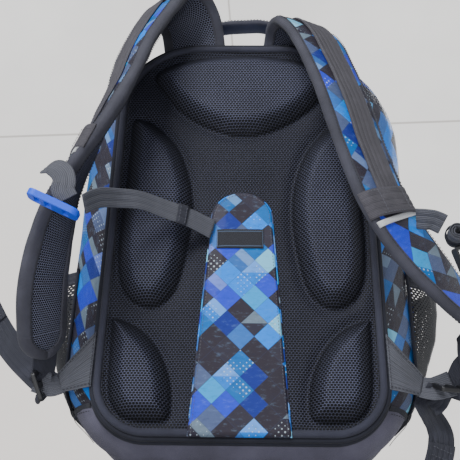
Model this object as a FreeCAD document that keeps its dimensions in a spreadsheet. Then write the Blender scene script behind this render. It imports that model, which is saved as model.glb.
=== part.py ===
import FreeCAD, Part
import math
import os

import Sketcher
from FreeCAD import Placement, Rotation, Vector

# School backpack, standing on its base. +Z is up, the padded back panel faces -Y and the
# pockets face +Y; left is -X and right is +X. Origin: centre of the flat of the base.
# Lengths are in millimetres.

doc = FreeCAD.newDocument("school_backpack")
sheet = doc.addObject("Spreadsheet::Sheet", "dims")

# Driving dimensions: alias, value. A formula may use the aliases above it.
DIMS = [
    # carcass
    ("wall_thick", 3.5), ("seam_gap", 0.5), ("tub_height", 50), ("zip_plane", 26),
    # back panel
    ("panel_low", 126), ("panel_top", 116), ("panel_floor", 24), ("panel_crown", 416),
    ("panel_rb", 44), ("panel_rt", 75), ("panel_thick", 5), ("pad_rise", 13),
    ("piping_dia", 7),
    # tongue and label
    ("tongue_low", 88), ("tongue_top", 57), ("tongue_straight", 191.5),
    ("tongue_thick", 2.4),
    ("label_long", 47), ("label_high", 19), ("label_thick", 0.8),
    # stiffeners and divider
    ("frame_wide", 200), ("frame_high", 330), ("frame_thick", 2), ("frame_fillet", 30),
    ("board_wide", 180), ("board_deep", 90), ("board_thick", 2.5), ("board_fillet", 20),
    ("divider_wide", 230), ("divider_high", 250), ("divider_thick", 5),
    ("divider_fillet", 30),
    # shoulder straps
    ("strap_thick", 13), ("cover_thick", 1.2), ("rail_wide", 4),
    ("band_wide", 28), ("band_thick", 1.8), ("tab_long", 26), ("tab_thick", 1.5),
    ("glow_long", 5), ("glow_wide", 44), ("glow_thick", 1),
    # webbing and grab handle
    ("web_thick", 1.5), ("chest_thick", 1.5), ("roll_thick", 2.4), ("grab_thick", 3),
    # ladder lock
    ("lock_wide", 36), ("lock_long", 26), ("lock_thick", 4), ("lock_fillet", 3),
    ("lock_slot_wide", 28), ("lock_slot_long", 5.5), ("lock_slot_pitch", 11),
    ("lock_edge_round", 1),
    # chest clip and socket
    ("clip_long", 46), ("clip_wide", 24), ("clip_thick", 6), ("clip_end_fillet", 7),
    ("clip_edge_round", "=clip_thick * 0.18"),
    ("clip_slot_long", 5), ("clip_slot_wide", 17),
    ("socket_long", 24), ("socket_wide", "=clip_wide - 2"), ("socket_fillet", 3),
    # zip sliders
    ("slider_long", 11), ("slider_wide", 8.4), ("slider_thick", 2.6),
    ("slider_fillet", 2.16),
    ("post_long", 3), ("post_thick", 1.2), ("post_high", 4), ("post_offset", 3.4),
    ("post_top", "=slider_thick + post_high"),
    ("bar_radius", 0.8), ("bar_height", "=post_top - 1.6"), ("bar_long", "=2 * post_offset"),
    # zip pulls
    ("pull_long", 24), ("pull_wide", 6), ("pull_thick", 1.5), ("pull_hole", 1.35),
    ("pull_fillet", 2), ("pull_centre", "=pull_hole + 1.9 + pull_long / 2"),
    ("eye_radius", "=pull_hole + 0.9"), ("eye_long", 4.4),
    ("neck_long", 3), ("neck_wide", 4), ("neck_centre", "=pull_hole + 1.7"),
    # straight zips and reflector on the front
    ("pocket_zip_long", 176), ("upper_zip_long", 120), ("tape_thick", 1), ("tape_wide", 16),
    ("coil_wide", 5), ("coil_thick", 1.6), ("coil_depth", "=coil_thick + 0.5"),
    ("reflector_long", 150), ("reflector_thick", 0.8), ("reflector_high", 8),
]
for row, (alias, value) in enumerate(DIMS, 1):
    sheet.set("A%d" % row, alias)
    sheet.set("B%d" % row, str(value))
    sheet.setAlias("B%d" % row, alias)
doc.recompute()

NODES = []  # the pieces to write, one file each


def dim(alias):
    return float(sheet.get(alias))


# ---------------------------------------------------------------- sketches and bodies
def new_body(label):
    body = doc.addObject("PartDesign::Body", label)
    body.Label = label
    NODES.append(body)
    return body


def new_sketch(body, name, role="XY_Plane"):
    plane = [f for f in body.Origin.OriginFeatures if f.Role == role][0]
    sketch = body.newObject("Sketcher::SketchObject", name)
    sketch.AttachmentSupport = (plane, [""])
    sketch.MapMode = "FlatFace"
    return sketch


def constrain(sketch, *constraint):
    return sketch.addConstraint(Sketcher.Constraint(*constraint))


def drive(sketch, expression, *constraint):
    """Adds a constraint whose value follows an expression."""
    index = constrain(sketch, *constraint)
    sketch.setExpression("Constraints[%d]" % index, expression)


def at(value):
    """A fixed position, as (value, expression)."""
    return value, "%g" % value


def times(factor, alias):
    """A position that is a multiple of a dimension, as (value, expression)."""
    return factor * dim(alias), "%g * dims.%s" % (factor, alias)


def add_rect(sketch, wide, high, x=None, y=None):
    """A rectangle sized by two aliases. x and y place its centre; without them it is
    centred on the origin."""
    first = sketch.GeometryCount
    (mid_x, x_text), (mid_y, y_text) = x or at(0), y or at(0)
    half_x, half_y = dim(wide) / 2, dim(high) / 2
    x0, x1, y0, y1 = mid_x - half_x, mid_x + half_x, mid_y - half_y, mid_y + half_y
    corners = [Vector(x0, y0, 0), Vector(x1, y0, 0), Vector(x1, y1, 0), Vector(x0, y1, 0)]
    for k in range(4):
        sketch.addGeometry(Part.LineSegment(corners[k], corners[(k + 1) % 4]), False)
    for k in range(4):
        constrain(sketch, "Coincident", first + k, 2, first + (k + 1) % 4, 1)
    constrain(sketch, "Horizontal", first)
    constrain(sketch, "Horizontal", first + 2)
    constrain(sketch, "Vertical", first + 1)
    constrain(sketch, "Vertical", first + 3)
    drive(sketch, "dims." + wide, "DistanceX", first, 1, first, 2, dim(wide))
    drive(sketch, "dims." + high, "DistanceY", first + 1, 1, first + 1, 2, dim(high))
    if x is None and y is None:
        constrain(sketch, "Symmetric", first, 1, first + 2, 1, -1, 1)
    else:
        drive(sketch, "%s - dims.%s / 2" % (x_text, wide), "DistanceX", -1, 1, first, 1, x0)
        drive(sketch, "%s - dims.%s / 2" % (y_text, high), "DistanceY", -1, 1, first, 1, y0)


def add_circle(sketch, radius, height=None):
    """A circle on the sketch's vertical axis, at a height above the origin or on it."""
    index = sketch.GeometryCount
    rise = dim(height) if height else 0
    circle = Part.Circle(Vector(0, rise, 0), Vector(0, 0, 1), dim(radius))
    sketch.addGeometry(circle, False)
    drive(sketch, "dims." + radius, "Radius", index, dim(radius))
    if height:
        constrain(sketch, "PointOnObject", index, 3, -2)
        drive(sketch, "dims." + height, "DistanceY", -1, 1, index, 3, rise)
    else:
        constrain(sketch, "Coincident", index, 3, -1, 1)


def pad(body, sketch, thick, symmetric=False):
    feature = body.newObject("PartDesign::Pad", "Pad")
    feature.Profile = sketch
    feature.setExpression("Length", "dims." + thick)
    if symmetric:
        feature.Midplane = True
    doc.recompute()


def pad_rect(body, name, wide, high, thick, symmetric=False, x=None, y=None):
    sketch = new_sketch(body, name)
    add_rect(sketch, wide, high, x, y)
    pad(body, sketch, thick, symmetric)


def cut_slot(body, name, wide, high, x=None, y=None):
    """A rectangular slot right through the body."""
    sketch = new_sketch(body, name)
    add_rect(sketch, wide, high, x, y)
    feature = body.newObject("PartDesign::Pocket", "Pocket")
    feature.Profile = sketch
    feature.Type = 1
    feature.Midplane = True
    doc.recompute()


def is_line(edge):
    return edge.Curve.TypeId == "Part::GeomLine"


def is_upright(edge):
    """Straight and parallel to local Z."""
    return is_line(edge) and abs(abs(edge.tangentAt(edge.FirstParameter).z) - 1) < 1e-6


def on_faces(edge, thick):
    """On the top or bottom face of a plate centred on local Z = 0."""
    return abs(abs(edge.CenterOfMass.z) - dim(thick) / 2) < 1e-6


def round_edges(body, radius, chosen=is_upright):
    """Fillets the edges of the body's tip that chosen accepts."""
    base = body.Tip
    names = ["Edge%d" % k for k, edge in enumerate(base.Shape.Edges, 1) if chosen(edge)]
    fillet = body.newObject("PartDesign::Fillet", "Fillet")
    fillet.Base = (base, names)
    fillet.Radius = dim(radius)
    fillet.setExpression("Radius", "dims." + radius)
    doc.recompute()
    return fillet


def plate(label, wide, high, thick, fillet, rotation, position):
    """A rectangular plate from four aliases; fillet may be None for square corners."""
    body = new_body(label)
    pad_rect(body, "Outline", wide, high, thick)
    if fillet:
        round_edges(body, fillet)
    body.Placement = Placement(position, rotation)


UPRIGHT = Rotation(Vector(1, 0, 0), 90)  # local X -> X, local Y -> Z, local Z -> -Y


def square_rotation(x_dir, z_dir):
    """Rotation taking local Z to z_dir and local X to x_dir, made square to it."""
    z = Vector(z_dir).normalize()
    x = Vector(x_dir)
    x = (x - z * x.dot(z)).normalize()
    y = z.cross(x)
    matrix = FreeCAD.Matrix(x.x, y.x, z.x, 0, x.y, y.y, z.y, 0, x.z, y.z, z.z, 0, 0, 0, 0, 1)
    return Placement(matrix).Rotation


# ---------------------------------------------------------------- free shapes
def add_piece(label, shape):
    piece = doc.addObject("Part::Feature", label)
    piece.Label = label
    piece.Shape = shape
    piece.Placement = Placement()
    NODES.append(piece)


def box(x0, x1, y0, y1, z0, z1):
    return Part.makeBox(x1 - x0, y1 - y0, z1 - z0, Vector(x0, y0, z0))


def within(shape, x0=-400, x1=400, y0=-200, y1=200, z0=0, z1=600):
    """The part of a shape inside a box; the default limits clear the whole bag."""
    return shape.common(box(x0, x1, y0, y1, z0, z1))


def solid_of(shape):
    solids = shape.Solids
    return solids[0] if len(solids) == 1 else Part.makeCompound(solids)


def loft_ruled(wires):
    return Part.makeLoft(wires, True, True)


def closed_polygon(points):
    return Part.makePolygon(points + [points[0]])


def spline_edge(points):
    curve = Part.BSplineCurve()
    curve.interpolate(points)
    return curve.toShape()


# A section is an upright trapezoid with rounded corners, symmetric about X = 0:
# (half-width at the foot, half-width at the crown, foot Z, crown Z, foot radius, crown radius)
def shrink(section, inset, radius_inset=None):
    """A section moved inwards by inset; the radii shrink as much unless told otherwise."""
    low, top, foot, crown, foot_radius, crown_radius = section
    if radius_inset is None:
        radius_inset = inset
    return (low - inset, top - inset, foot + inset, crown - inset,
            foot_radius - radius_inset, crown_radius - radius_inset)


def trapezoid(section, y):
    """The closed wire of a section in the plane Y = y."""
    low, top, foot, crown, foot_radius, crown_radius = section
    corners = [Vector(-low, y, foot), Vector(low, y, foot),
               Vector(top, y, crown), Vector(-top, y, crown)]
    radii = [foot_radius, foot_radius, crown_radius, crown_radius]
    arcs = []
    for i, (corner, radius) in enumerate(zip(corners, radii)):
        before = (corners[i - 1] - corner).normalize()
        after = (corners[(i + 1) % 4] - corner).normalize()
        half_angle = before.getAngle(after) / 2
        setback = radius / math.tan(half_angle)
        bisector = (before + after).normalize()
        centre = corner + bisector * (radius / math.sin(half_angle))
        arcs.append((corner + before * setback, centre - bisector * radius,
                     corner + after * setback))
    edges = []
    for i, (start, middle, end) in enumerate(arcs):
        edges.append(Part.Arc(start, middle, end).toShape())
        edges.append(Part.makeLine(end, arcs[(i + 1) % 4][0]))
    return Part.Wire(edges)


def prism(section, y, depth):
    """A section extruded from Y = y by a signed depth."""
    return Part.Face(trapezoid(section, y)).extrude(Vector(0, depth, 0))


# ---------------------------------------------------------------- carcass
# Sections from the panel edge to the front face: y, then the section's six numbers
SECTIONS = [
    (-90.0, 128, 117, 19.5, 419.0, 46, 76),
    (-76.0, 147, 132, 8.0, 426.0, 66, 84),
    (-58.0, 160, 145, -0.4, 430.0, 90, 90),
    (-30.0, 170, 153, -0.4, 432.0, 112, 95),
    (38.0, 172, 154, -0.4, 431.0, 124, 95),
    (66.0, 164, 147, 8.0, 421.0, 120, 92),
    (86.0, 150, 134, 20.0, 402.0, 104, 88),
    (99.0, 134, 114, 33.0, 380.0, 84, 80),
]
ZIP_Y = dim("zip_plane")
COIL_HALF = 1.1  # half-width of the main zip's coil
TAPE_NEAR, TAPE_FAR = 1.4, 7.6  # edges of each tape, from the zip plane
TAPE_INSETS = (0.6, 2.6)  # outer and inner skins, inwards from the carcass
COIL_INSETS = (-1.2, 2.2)
COVER_GAP = 1.0  # from the tub's rim up to the cover and the zip
TOP_HALF, TOP_LOW = 66.0, 200  # half-width and lower limit of the top gusset


def section_at(y):
    """The carcass section at a depth, interpolated between the stations."""
    if y <= SECTIONS[0][0]:
        return SECTIONS[0][1:]
    for back, front in zip(SECTIONS, SECTIONS[1:]):
        if y <= front[0]:
            part = (y - back[0]) / (front[0] - back[0])
            return tuple(p + (q - p) * part for p, q in zip(back[1:], front[1:]))
    return SECTIONS[-1][1:]


def half_width(y, z):
    """Outer half-width of the carcass at a depth and a height."""
    low, top, foot, crown, foot_radius, crown_radius = section_at(y)
    lean = (low - top) / (crown - foot)
    if z < foot + foot_radius:
        drop = foot + foot_radius - z
        arc = math.sqrt(max(foot_radius ** 2 - drop ** 2, 0))
        return low - lean * foot_radius - foot_radius + arc
    if z > crown - crown_radius:
        climb = z - (crown - crown_radius)
        side = low - lean * (crown - crown_radius - foot)
        return side - crown_radius + math.sqrt(max(crown_radius ** 2 - climb ** 2, 0))
    return low - lean * (z - foot)


def carcass_shell():
    """The whole shell: closed at the front, open towards the back panel."""
    wall = dim("wall_thick")
    depths = [row[0] for row in SECTIONS]
    inner_depths = [depths[0] - 1.0] + depths[1:-1] + [depths[-1] - wall]
    outer = loft_ruled([trapezoid(section_at(y), y) for y in depths])
    inner = loft_ruled([trapezoid(shrink(section_at(y), wall), y) for y in inner_depths])
    return outer.cut(inner)


def zip_ring(y0, y1, insets):
    """A band of the main zip round the carcass, open below the tub's rim."""
    section = section_at(ZIP_Y)
    outer = prism(shrink(section, insets[0]), y0, y1 - y0)
    inner = prism(shrink(section, insets[1]), y0 - 1, y1 - y0 + 2)
    return solid_of(within(outer.cut(inner), z0=dim("tub_height") + COVER_GAP))


def build_carcass():
    shell = carcass_shell()
    gap, tub = dim("seam_gap"), dim("tub_height")
    rear = within(shell, y1=ZIP_Y - TAPE_FAR - gap, z0=tub + gap)
    top = within(rear, x0=-TOP_HALF, x1=TOP_HALF, z0=TOP_LOW)
    add_piece("top_gusset", solid_of(top))
    add_piece("side_gusset_right", solid_of(within(rear, x0=TOP_HALF + gap)))
    add_piece("side_gusset_left", solid_of(within(rear, x1=-TOP_HALF - gap)))
    # the tub is trimmed at Z = 0, so that it stands on a true plane
    add_piece("base_shell", solid_of(within(shell, z0=0, z1=tub)))
    cover = within(shell, y0=ZIP_Y + TAPE_FAR + gap, z0=tub + COVER_GAP)
    add_piece("cover_shell", solid_of(cover))


def build_main_zip():
    rear = zip_ring(ZIP_Y - TAPE_FAR, ZIP_Y - TAPE_NEAR, TAPE_INSETS)
    add_piece("zip_tape_rear", rear)
    add_piece("zip_coil", zip_ring(ZIP_Y - COIL_HALF, ZIP_Y + COIL_HALF, COIL_INSETS))
    front = zip_ring(ZIP_Y + TAPE_NEAR, ZIP_Y + TAPE_FAR, TAPE_INSETS)
    add_piece("zip_tape_front", front)


# ---------------------------------------------------------------- back panel
PANEL = tuple(dim("panel_" + end) for end in ("low", "top", "floor", "crown", "rb", "rt"))
PANEL_INNER = -91.5  # Y of the face towards the bag
PANEL_OUTER = PANEL_INNER - dim("panel_thick")
PAD_FOOT = PANEL_OUTER - 0.4  # Y where the pads and the tongue start

# Outlines of the foam pads: (x, z)
PAD_TOP = [
    (0, 314), (20, 317), (45, 329), (65, 345), (80, 363), (88, 380), (78, 393), (54, 402),
    (25, 407), (0, 408), (-25, 407), (-54, 402), (-78, 393), (-88, 380), (-80, 363),
    (-65, 345), (-45, 329), (-20, 317),
]
PAD_MID = [
    (105, 333), (90, 330), (76, 318), (61, 298), (50, 267), (46, 236), (48, 206), (53, 177),
    (60, 154), (72, 140), (86, 137), (100, 144), (109, 158), (113, 180), (113.5, 206),
    (112, 236), (110, 266), (108.5, 300), (108.5, 322),
]
PAD_LOW = [
    (114, 127), (96, 121), (81, 109), (69, 92), (61, 70), (59, 50), (62, 36), (78, 33),
    (100, 36), (111, 48), (115, 66), (115.4, 100), (115.2, 119),
]
# Layers of a pad: share of its full rise, scale of its outline
PAD_LAYERS = [(0, 1.0), (0.55, 0.94), (0.88, 0.82), (1.0, 0.62)]


def build_panel():
    pipe = dim("piping_dia")
    panel = prism(shrink(PANEL, pipe + 0.6), PANEL_INNER, -dim("panel_thick"))
    add_piece("back_panel", solid_of(panel))

    # piping: a cord round the edge of the panel, rounded on its outer side
    outer = prism(PANEL, PANEL_INNER, -pipe)
    cord = outer.cut(prism(shrink(PANEL, pipe), PANEL_INNER + 1, -pipe - 2))
    outer_edges = []
    for edge in cord.Edges:
        bounds = edge.BoundBox
        flat = abs(bounds.YMax - bounds.YMin) < 1e-6
        if flat and bounds.YMin < PANEL_INNER - pipe + 0.01:
            outer_edges.append(edge)
    add_piece("panel_piping", solid_of(cord.makeFillet(pipe * 0.42, outer_edges)))


def closed_spline(points, y, scale, side):
    """A closed curve through (x, z) points, scaled about their mean; side -1 mirrors it."""
    mid_x = sum(p[0] for p in points) / len(points)
    mid_z = sum(p[1] for p in points) / len(points)
    scaled = [Vector(side * (mid_x + (x - mid_x) * scale), y, mid_z + (z - mid_z) * scale)
              for x, z in points]
    curve = Part.BSplineCurve()
    curve.interpolate(Points=scaled, PeriodicFlag=True)
    return Part.Wire([curve.toShape()])


def foam_pad(label, points, side=1):
    rise = dim("pad_rise")
    add_piece(label, loft_ruled([closed_spline(points, PAD_FOOT - rise * share, scale, side)
                                 for share, scale in PAD_LAYERS]))


def build_tongue():
    """A tapered flap with an arched top, and the label on it."""
    body = new_body("back_tongue")
    sketch = new_sketch(body, "TongueOutline")
    low, top, straight = dim("tongue_low") / 2, dim("tongue_top") / 2, dim("tongue_straight")
    low_left, low_right = Vector(-low, 0, 0), Vector(low, 0, 0)
    top_left, top_right = Vector(-top, straight, 0), Vector(top, straight, 0)
    arch = Part.Arc(top_right, Vector(0, straight + top, 0), top_left)
    sketch.addGeometry(Part.LineSegment(low_left, low_right), False)
    sketch.addGeometry(Part.LineSegment(low_right, top_right), False)
    sketch.addGeometry(arch, False)
    sketch.addGeometry(Part.LineSegment(top_left, low_left), False)
    constrain(sketch, "Coincident", 0, 2, 1, 1)
    constrain(sketch, "Coincident", 3, 2, 0, 1)
    constrain(sketch, "Coincident", 1, 2, 2, 1)
    constrain(sketch, "Coincident", 2, 2, 3, 1)
    constrain(sketch, "PointOnObject", 0, 1, -1)
    constrain(sketch, "Symmetric", 0, 1, 0, 2, -2)
    constrain(sketch, "Symmetric", 2, 1, 2, 2, -2)
    constrain(sketch, "Horizontal", 2, 3, 2, 1)
    drive(sketch, "dims.tongue_low", "DistanceX", 0, 1, 0, 2, 2 * low)
    drive(sketch, "dims.tongue_top", "DistanceX", 2, 2, 2, 1, 2 * top)
    drive(sketch, "dims.tongue_straight", "DistanceY", 0, 2, 1, 2, straight)
    pad(body, sketch, "tongue_thick")
    body.Placement = Placement(Vector(0, PAD_FOOT, 32), UPRIGHT)
    label_y = PAD_FOOT - dim("tongue_thick") - 0.2
    plate("woven_label", "label_long", "label_high", "label_thick", None,
          UPRIGHT, Vector(-1.5, label_y, 203.5))


def build_stiffeners():
    plate("frame_sheet", "frame_wide", "frame_high", "frame_thick", "frame_fillet",
          UPRIGHT, Vector(0, -88.5, 212))
    plate("divider_panel", "divider_wide", "divider_high", "divider_thick",
          "divider_fillet", UPRIGHT, Vector(0, -68, 150))
    plate("base_board", "board_wide", "board_deep", "board_thick", "board_fillet",
          Rotation(), Vector(0, -8, dim("wall_thick") + 9.5))


# ---------------------------------------------------------------- mesh side pockets
# Levels of a side pocket: z, share of the full bulge
MESH_LEVELS = [(53, 0.05), (80, 0.12), (106, 0.34), (132, 0.78), (160, 1.0), (188, 0.97)]
MESH_BACK, MESH_DEPTH = -56, 70  # Y of the rear edge, and the length forwards from it
MESH_BULGE = 21.0
MESH_INNER, MESH_OUTER = 1.6, 3.4  # clearances of the two skins from the carcass


def mesh_points(side, z, share, clearance):
    points = []
    for k in range(9):
        along = k / 8.0
        y = MESH_BACK + MESH_DEPTH * along
        bulge = 0.0
        if 0 < along < 1:
            bulge = MESH_BULGE * share * math.sin(math.pi * along) ** 0.8
        points.append(Vector(side * (half_width(y, z) + clearance + bulge), y, z))
    return points


def mesh_pocket(label, side):
    wires = []
    for z, share in MESH_LEVELS:
        inner = mesh_points(side, z, share, MESH_INNER)
        outer = mesh_points(side, z, share, MESH_OUTER)
        wires.append(Part.Wire([
            spline_edge(outer),
            Part.makeLine(outer[-1], inner[-1]),
            spline_edge(inner[::-1]),
            Part.makeLine(inner[0], outer[0]),
        ]))
    add_piece(label, loft_ruled(wires))


# ---------------------------------------------------------------- strips along a path
# A path is a list of stations: (x, y, z, outward x, outward y, outward z, width)
def catmull_rom(rows, count):
    """Resamples rows of numbers to count rows by Catmull-Rom, evenly by index."""
    out, last = [], len(rows) - 1
    for k in range(count):
        place = last * k / (count - 1.0)
        i = min(int(place), last - 1)
        f = place - i
        around = (rows[max(i - 1, 0)], rows[i], rows[i + 1], rows[min(i + 2, last)])
        out.append(tuple(
            0.5 * (2 * b + (c - a) * f + (2 * a - 5 * b + 4 * c - d) * f * f
                   + (3 * b - a - 3 * c + d) * f ** 3)
            for a, b, c, d in zip(*around)))
    return out


def frames_of(path, count):
    """Frames along a path, each (centre, along, across, outward, width)."""
    rows = catmull_rom(path, count)
    frames = []
    for i, row in enumerate(rows):
        before, after = rows[max(i - 1, 0)], rows[min(i + 1, count - 1)]
        along = (Vector(*after[:3]) - Vector(*before[:3])).normalize()
        outward = Vector(*row[3:6])
        outward = (outward - along * outward.dot(along)).normalize()
        frames.append((Vector(*row[:3]), along, along.cross(outward), outward, row[6]))
    return frames


def inset_edges(inset):
    """Edge rule for strip: the full width less an inset on each side."""
    return lambda wide: (-(wide / 2 - inset), wide / 2 - inset)


def strip(frames, low, high, edges=inset_edges(0)):
    """A solid from low to high along the outward normal; edges(width) gives its two
    sides, measured across from the centre line."""
    wires = []
    for centre, along, across, outward, wide in frames:
        left, right = edges(wide)
        wires.append(closed_polygon([
            centre + across * left + outward * low, centre + across * right + outward * low,
            centre + across * right + outward * high, centre + across * left + outward * high,
        ]))
    return loft_ruled(wires)


def patch(frame, low, thick, start, end, half):
    """A flat rectangle on one frame, from start to end along it and half to each side."""
    centre, along, across, outward, wide = frame
    corners = [centre + along * a + across * b + outward * low
               for a, b in ((start, -half), (end, -half), (end, half), (start, half))]
    return solid_of(Part.Face(closed_polygon(corners)).extrude(outward * thick))


# ---------------------------------------------------------------- shoulder straps
STRAP_LEFT = [
    (-52, -84, 436, 0.0, 0.90, 0.35, 60),
    (-56, -90, 452, 0.0, 0.75, 0.66, 61),
    (-66, -103, 461, -0.25, 0.15, 0.96, 62),
    (-82, -117, 447, -0.50, -0.50, 0.72, 61),
    (-102, -138, 388, -0.72, -0.62, 0.30, 60),
    (-112, -150, 338, -0.80, -0.52, 0.22, 60),
    (-126, -158, 291, -0.88, -0.40, 0.20, 58),
    (-149, -163, 228, -0.96, -0.06, 0.22, 56),
    (-158, -160, 201, -0.93, 0.24, 0.22, 54),
    (-165, -152, 172, -0.86, 0.42, 0.26, 52),
    (-170, -140, 143, -0.77, 0.52, 0.34, 50),
    (-172, -121, 114, -0.70, 0.56, 0.42, 47),
    (-171, -102, 87, -0.68, 0.57, 0.42, 42),
]
STRAP_RIGHT = [
    (50, -86, 434, 0.0, 0.43, 0.90, 56),
    (53, -97, 436, 0.05, 0.10, 1.0, 60),
    (60, -110, 430, 0.20, -0.35, 0.92, 62),
    (70, -126, 407, 0.38, -0.70, 0.58, 61),
    (81, -143, 366, 0.48, -0.78, 0.38, 60),
    (93, -157, 317, 0.53, -0.79, 0.28, 60),
    (106, -164, 262, 0.55, -0.80, 0.22, 59),
    (124, -163, 208, 0.58, -0.80, 0.16, 58),
    (147, -156, 171, 0.64, -0.76, 0.10, 56),
    (172, -144, 144, 0.78, -0.60, 0.10, 54),
    (195, -128, 124, 0.95, -0.28, 0.10, 52),
    (210, -112, 108, 0.88, 0.45, 0.05, 52),
    (208, -99, 94, 0.50, 0.86, 0.05, 50),
    (195, -92, 83, 0.22, 0.97, 0.10, 44),
]
STRAP_FRAMES = 27
TAB_FRAME = 14  # frame that carries the cross tab, where the band ends
PLY_GAP = 0.4  # between the pad, its cover and the band


def shoulder_strap(side, path):
    frames = frames_of(path, STRAP_FRAMES)
    half = dim("strap_thick") / 2
    add_piece("strap_pad_" + side, strip(frames, -half, half, inset_edges(5.2)))

    cover_low = half + PLY_GAP
    cover_high = cover_low + dim("cover_thick")
    add_piece("strap_cover_" + side, strip(frames, cover_low, cover_high, inset_edges(6.0)))

    rail = dim("rail_wide")
    add_piece("strap_binding_" + side, Part.makeCompound([
        strip(frames, -half + 1, half - 1, lambda wide: (-wide / 2, -wide / 2 + rail)),
        strip(frames, -half + 1, half - 1, lambda wide: (wide / 2 - rail, wide / 2)),
    ]))

    band_low = cover_high + PLY_GAP
    band_high = band_low + dim("band_thick")
    band_half = dim("band_wide") / 2
    add_piece("strap_band_" + side, strip(frames[:TAB_FRAME + 1], band_low, band_high,
                                          lambda wide: (-band_half, band_half)))

    frame = frames[TAB_FRAME]
    tab_low = band_high + 1.15
    tab_half = dim("tab_long") / 2
    add_piece("cross_tab_" + side, patch(frame, tab_low, dim("tab_thick"),
                                         -tab_half, tab_half, frame[4] / 2))
    glow_start = tab_half + 0.6
    glow_end = glow_start + dim("glow_long")
    add_piece("reflector_" + side, patch(frame, tab_low, dim("glow_thick"),
                                         glow_start, glow_end, dim("glow_wide") / 2))


# ---------------------------------------------------------------- ladder locks and wings
def ladder_lock(label, centre, along, outward):
    """A moulded frame with two slots. Local Y runs along the strap, local Z out of it."""
    body = new_body(label)
    pad_rect(body, "Frame", "lock_wide", "lock_long", "lock_thick", symmetric=True)
    round_edges(body, "lock_fillet")
    for sign in (-1, 1):
        cut_slot(body, "Slot", "lock_slot_wide", "lock_slot_long",
                 y=times(sign / 2, "lock_slot_pitch"))
    slotted = body.Tip
    softened = round_edges(body, "lock_edge_round",
                           lambda edge: is_line(edge) and on_faces(edge, "lock_thick"))
    # the fillet kernel may refuse these edges; the lock then keeps them sharp
    if softened.isValid() is False or softened.Shape.isNull():
        body.removeObject(softened)
        doc.removeObject(softened.Name)
        body.Tip = slotted
    z = Vector(*outward).normalize()
    y = Vector(*along)
    y = (y - z * y.dot(z)).normalize()
    body.Placement = Placement(Vector(*centre), square_rotation(y.cross(z), z))


def strap_wing(label, side):
    """A thin gusset at a lower corner, tapering outwards from the panel."""
    root = [(128, -94.6, 63), (128, -94.6, 115), (128, -93.1, 115), (128, -93.1, 63)]
    tip = [(144, -89.6, 64), (155, -88.6, 80), (155, -87.1, 80), (144, -88.1, 64)]
    add_piece(label, loft_ruled([closed_polygon([Vector(side * x, y, z) for x, y, z in end])
                                 for end in (root, tip)]))


# ---------------------------------------------------------------- lower webbing
# Short lengths between wing and lock, and the free tails
WEB_LEFT = [
    (-153, -87.0, 69.5, -0.25, -0.95, 0.10, 16),
    (-155, -86.5, 68.0, -0.22, -0.95, 0.05, 16),
    (-157, -86.0, 66.5, -0.20, -0.95, 0.0, 16),
]
TAIL_LEFT = [
    (-168, -69, 70, -0.20, -0.95, -0.20, 25),
    (-179, -65, 79, -0.25, -0.95, -0.15, 25),
    (-191, -61, 90, -0.28, -0.95, -0.15, 25),
    (-204, -56, 103, -0.32, -0.93, -0.12, 25),
    (-217, -51, 118, -0.35, -0.92, -0.10, 25),
    (-228, -47, 134, -0.38, -0.90, -0.10, 25),
    (-240, -43, 154, -0.40, -0.90, -0.05, 25),
]
WEB_RIGHT = [
    (153, -87.0, 69.5, 0.25, -0.95, 0.10, 16),
    (155, -86.8, 68.0, 0.25, -0.95, 0.12, 16),
    (156, -86.7, 67.2, 0.25, -0.95, 0.14, 15),
]
TAIL_RIGHT = [
    (163, -79, 56, 0.25, -0.95, 0.20, 25),
    (166, -74, 50, 0.28, -0.95, 0.15, 25),
    (172, -69, 42, 0.30, -0.95, 0.15, 25),
    (176, -66, 33, 0.30, -0.95, 0.10, 25),
    (176, -64, 24, 0.30, -0.95, 0.05, 25),
    (174, -63, 15, 0.30, -0.95, 0.05, 25),
    (171, -62, 6, 0.28, -0.95, 0.05, 25),
]


def lower_webbing(label, web, tail):
    thick = dim("web_thick")
    add_piece(label, Part.makeCompound([strip(frames_of(web, 5), 0, thick),
                                        strip(frames_of(tail, 13), 0, thick)]))


# ---------------------------------------------------------------- chest strap
CHEST_LEFT = [
    (-130, -195.5, 191, 0.25, -0.70, -0.55, 18),
    (-124.5, -186, 199.5, 0.35, -0.75, -0.45, 18),
    (-117, -174, 208, 0.50, -0.80, -0.25, 18),
    (-104, -157, 216, 0.55, -0.82, -0.10, 18),
    (-90, -143, 220.5, 0.55, -0.83, 0.0, 18),
    (-76, -132, 221.5, 0.52, -0.85, 0.0, 18),
    (-62, -123, 220.5, 0.50, -0.86, 0.0, 18),
    (-48, -115, 218, 0.50, -0.86, 0.0, 18),
    (-36, -107, 215, 0.45, -0.89, 0.0, 18),
]
CHEST_TAIL = [
    (-148, -206, 197, 0.10, -0.80, -0.45, 20),
    (-146, -207, 206, 0.0, -0.93, -0.25, 20),
    (-149, -206, 215, -0.10, -0.95, 0.10, 20),
    (-157, -203, 222, -0.20, -0.85, 0.40, 20),
    (-165, -199, 222, -0.30, -0.65, 0.65, 20),
]
CHEST_RIGHT = [
    (157, -166, 193, 0.30, -0.70, -0.60, 18),
    (164, -166, 192, 0.22, -0.60, -0.75, 18),
    (171, -165, 188, 0.35, -0.50, -0.75, 18),
]
CLIP_SLOTS = (-13.5, -4.0, 12.0)  # centres of the clip's slots, along local X
SOCKET_SLOT = -6.5


def roll_path():
    """Stations of the rolled end: a shrinking spiral about an axis along Y."""
    path = []
    for k in range(10):
        angle = 2 * math.pi * k / 12.0 + 2.0
        radius = 7.5 - 0.25 * k
        x, z = math.cos(angle), math.sin(angle)
        path.append((183 + radius * x, -163 + 0.2 * k, 180 + radius * z, x, 0.0, z, 20))
    return path


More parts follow.
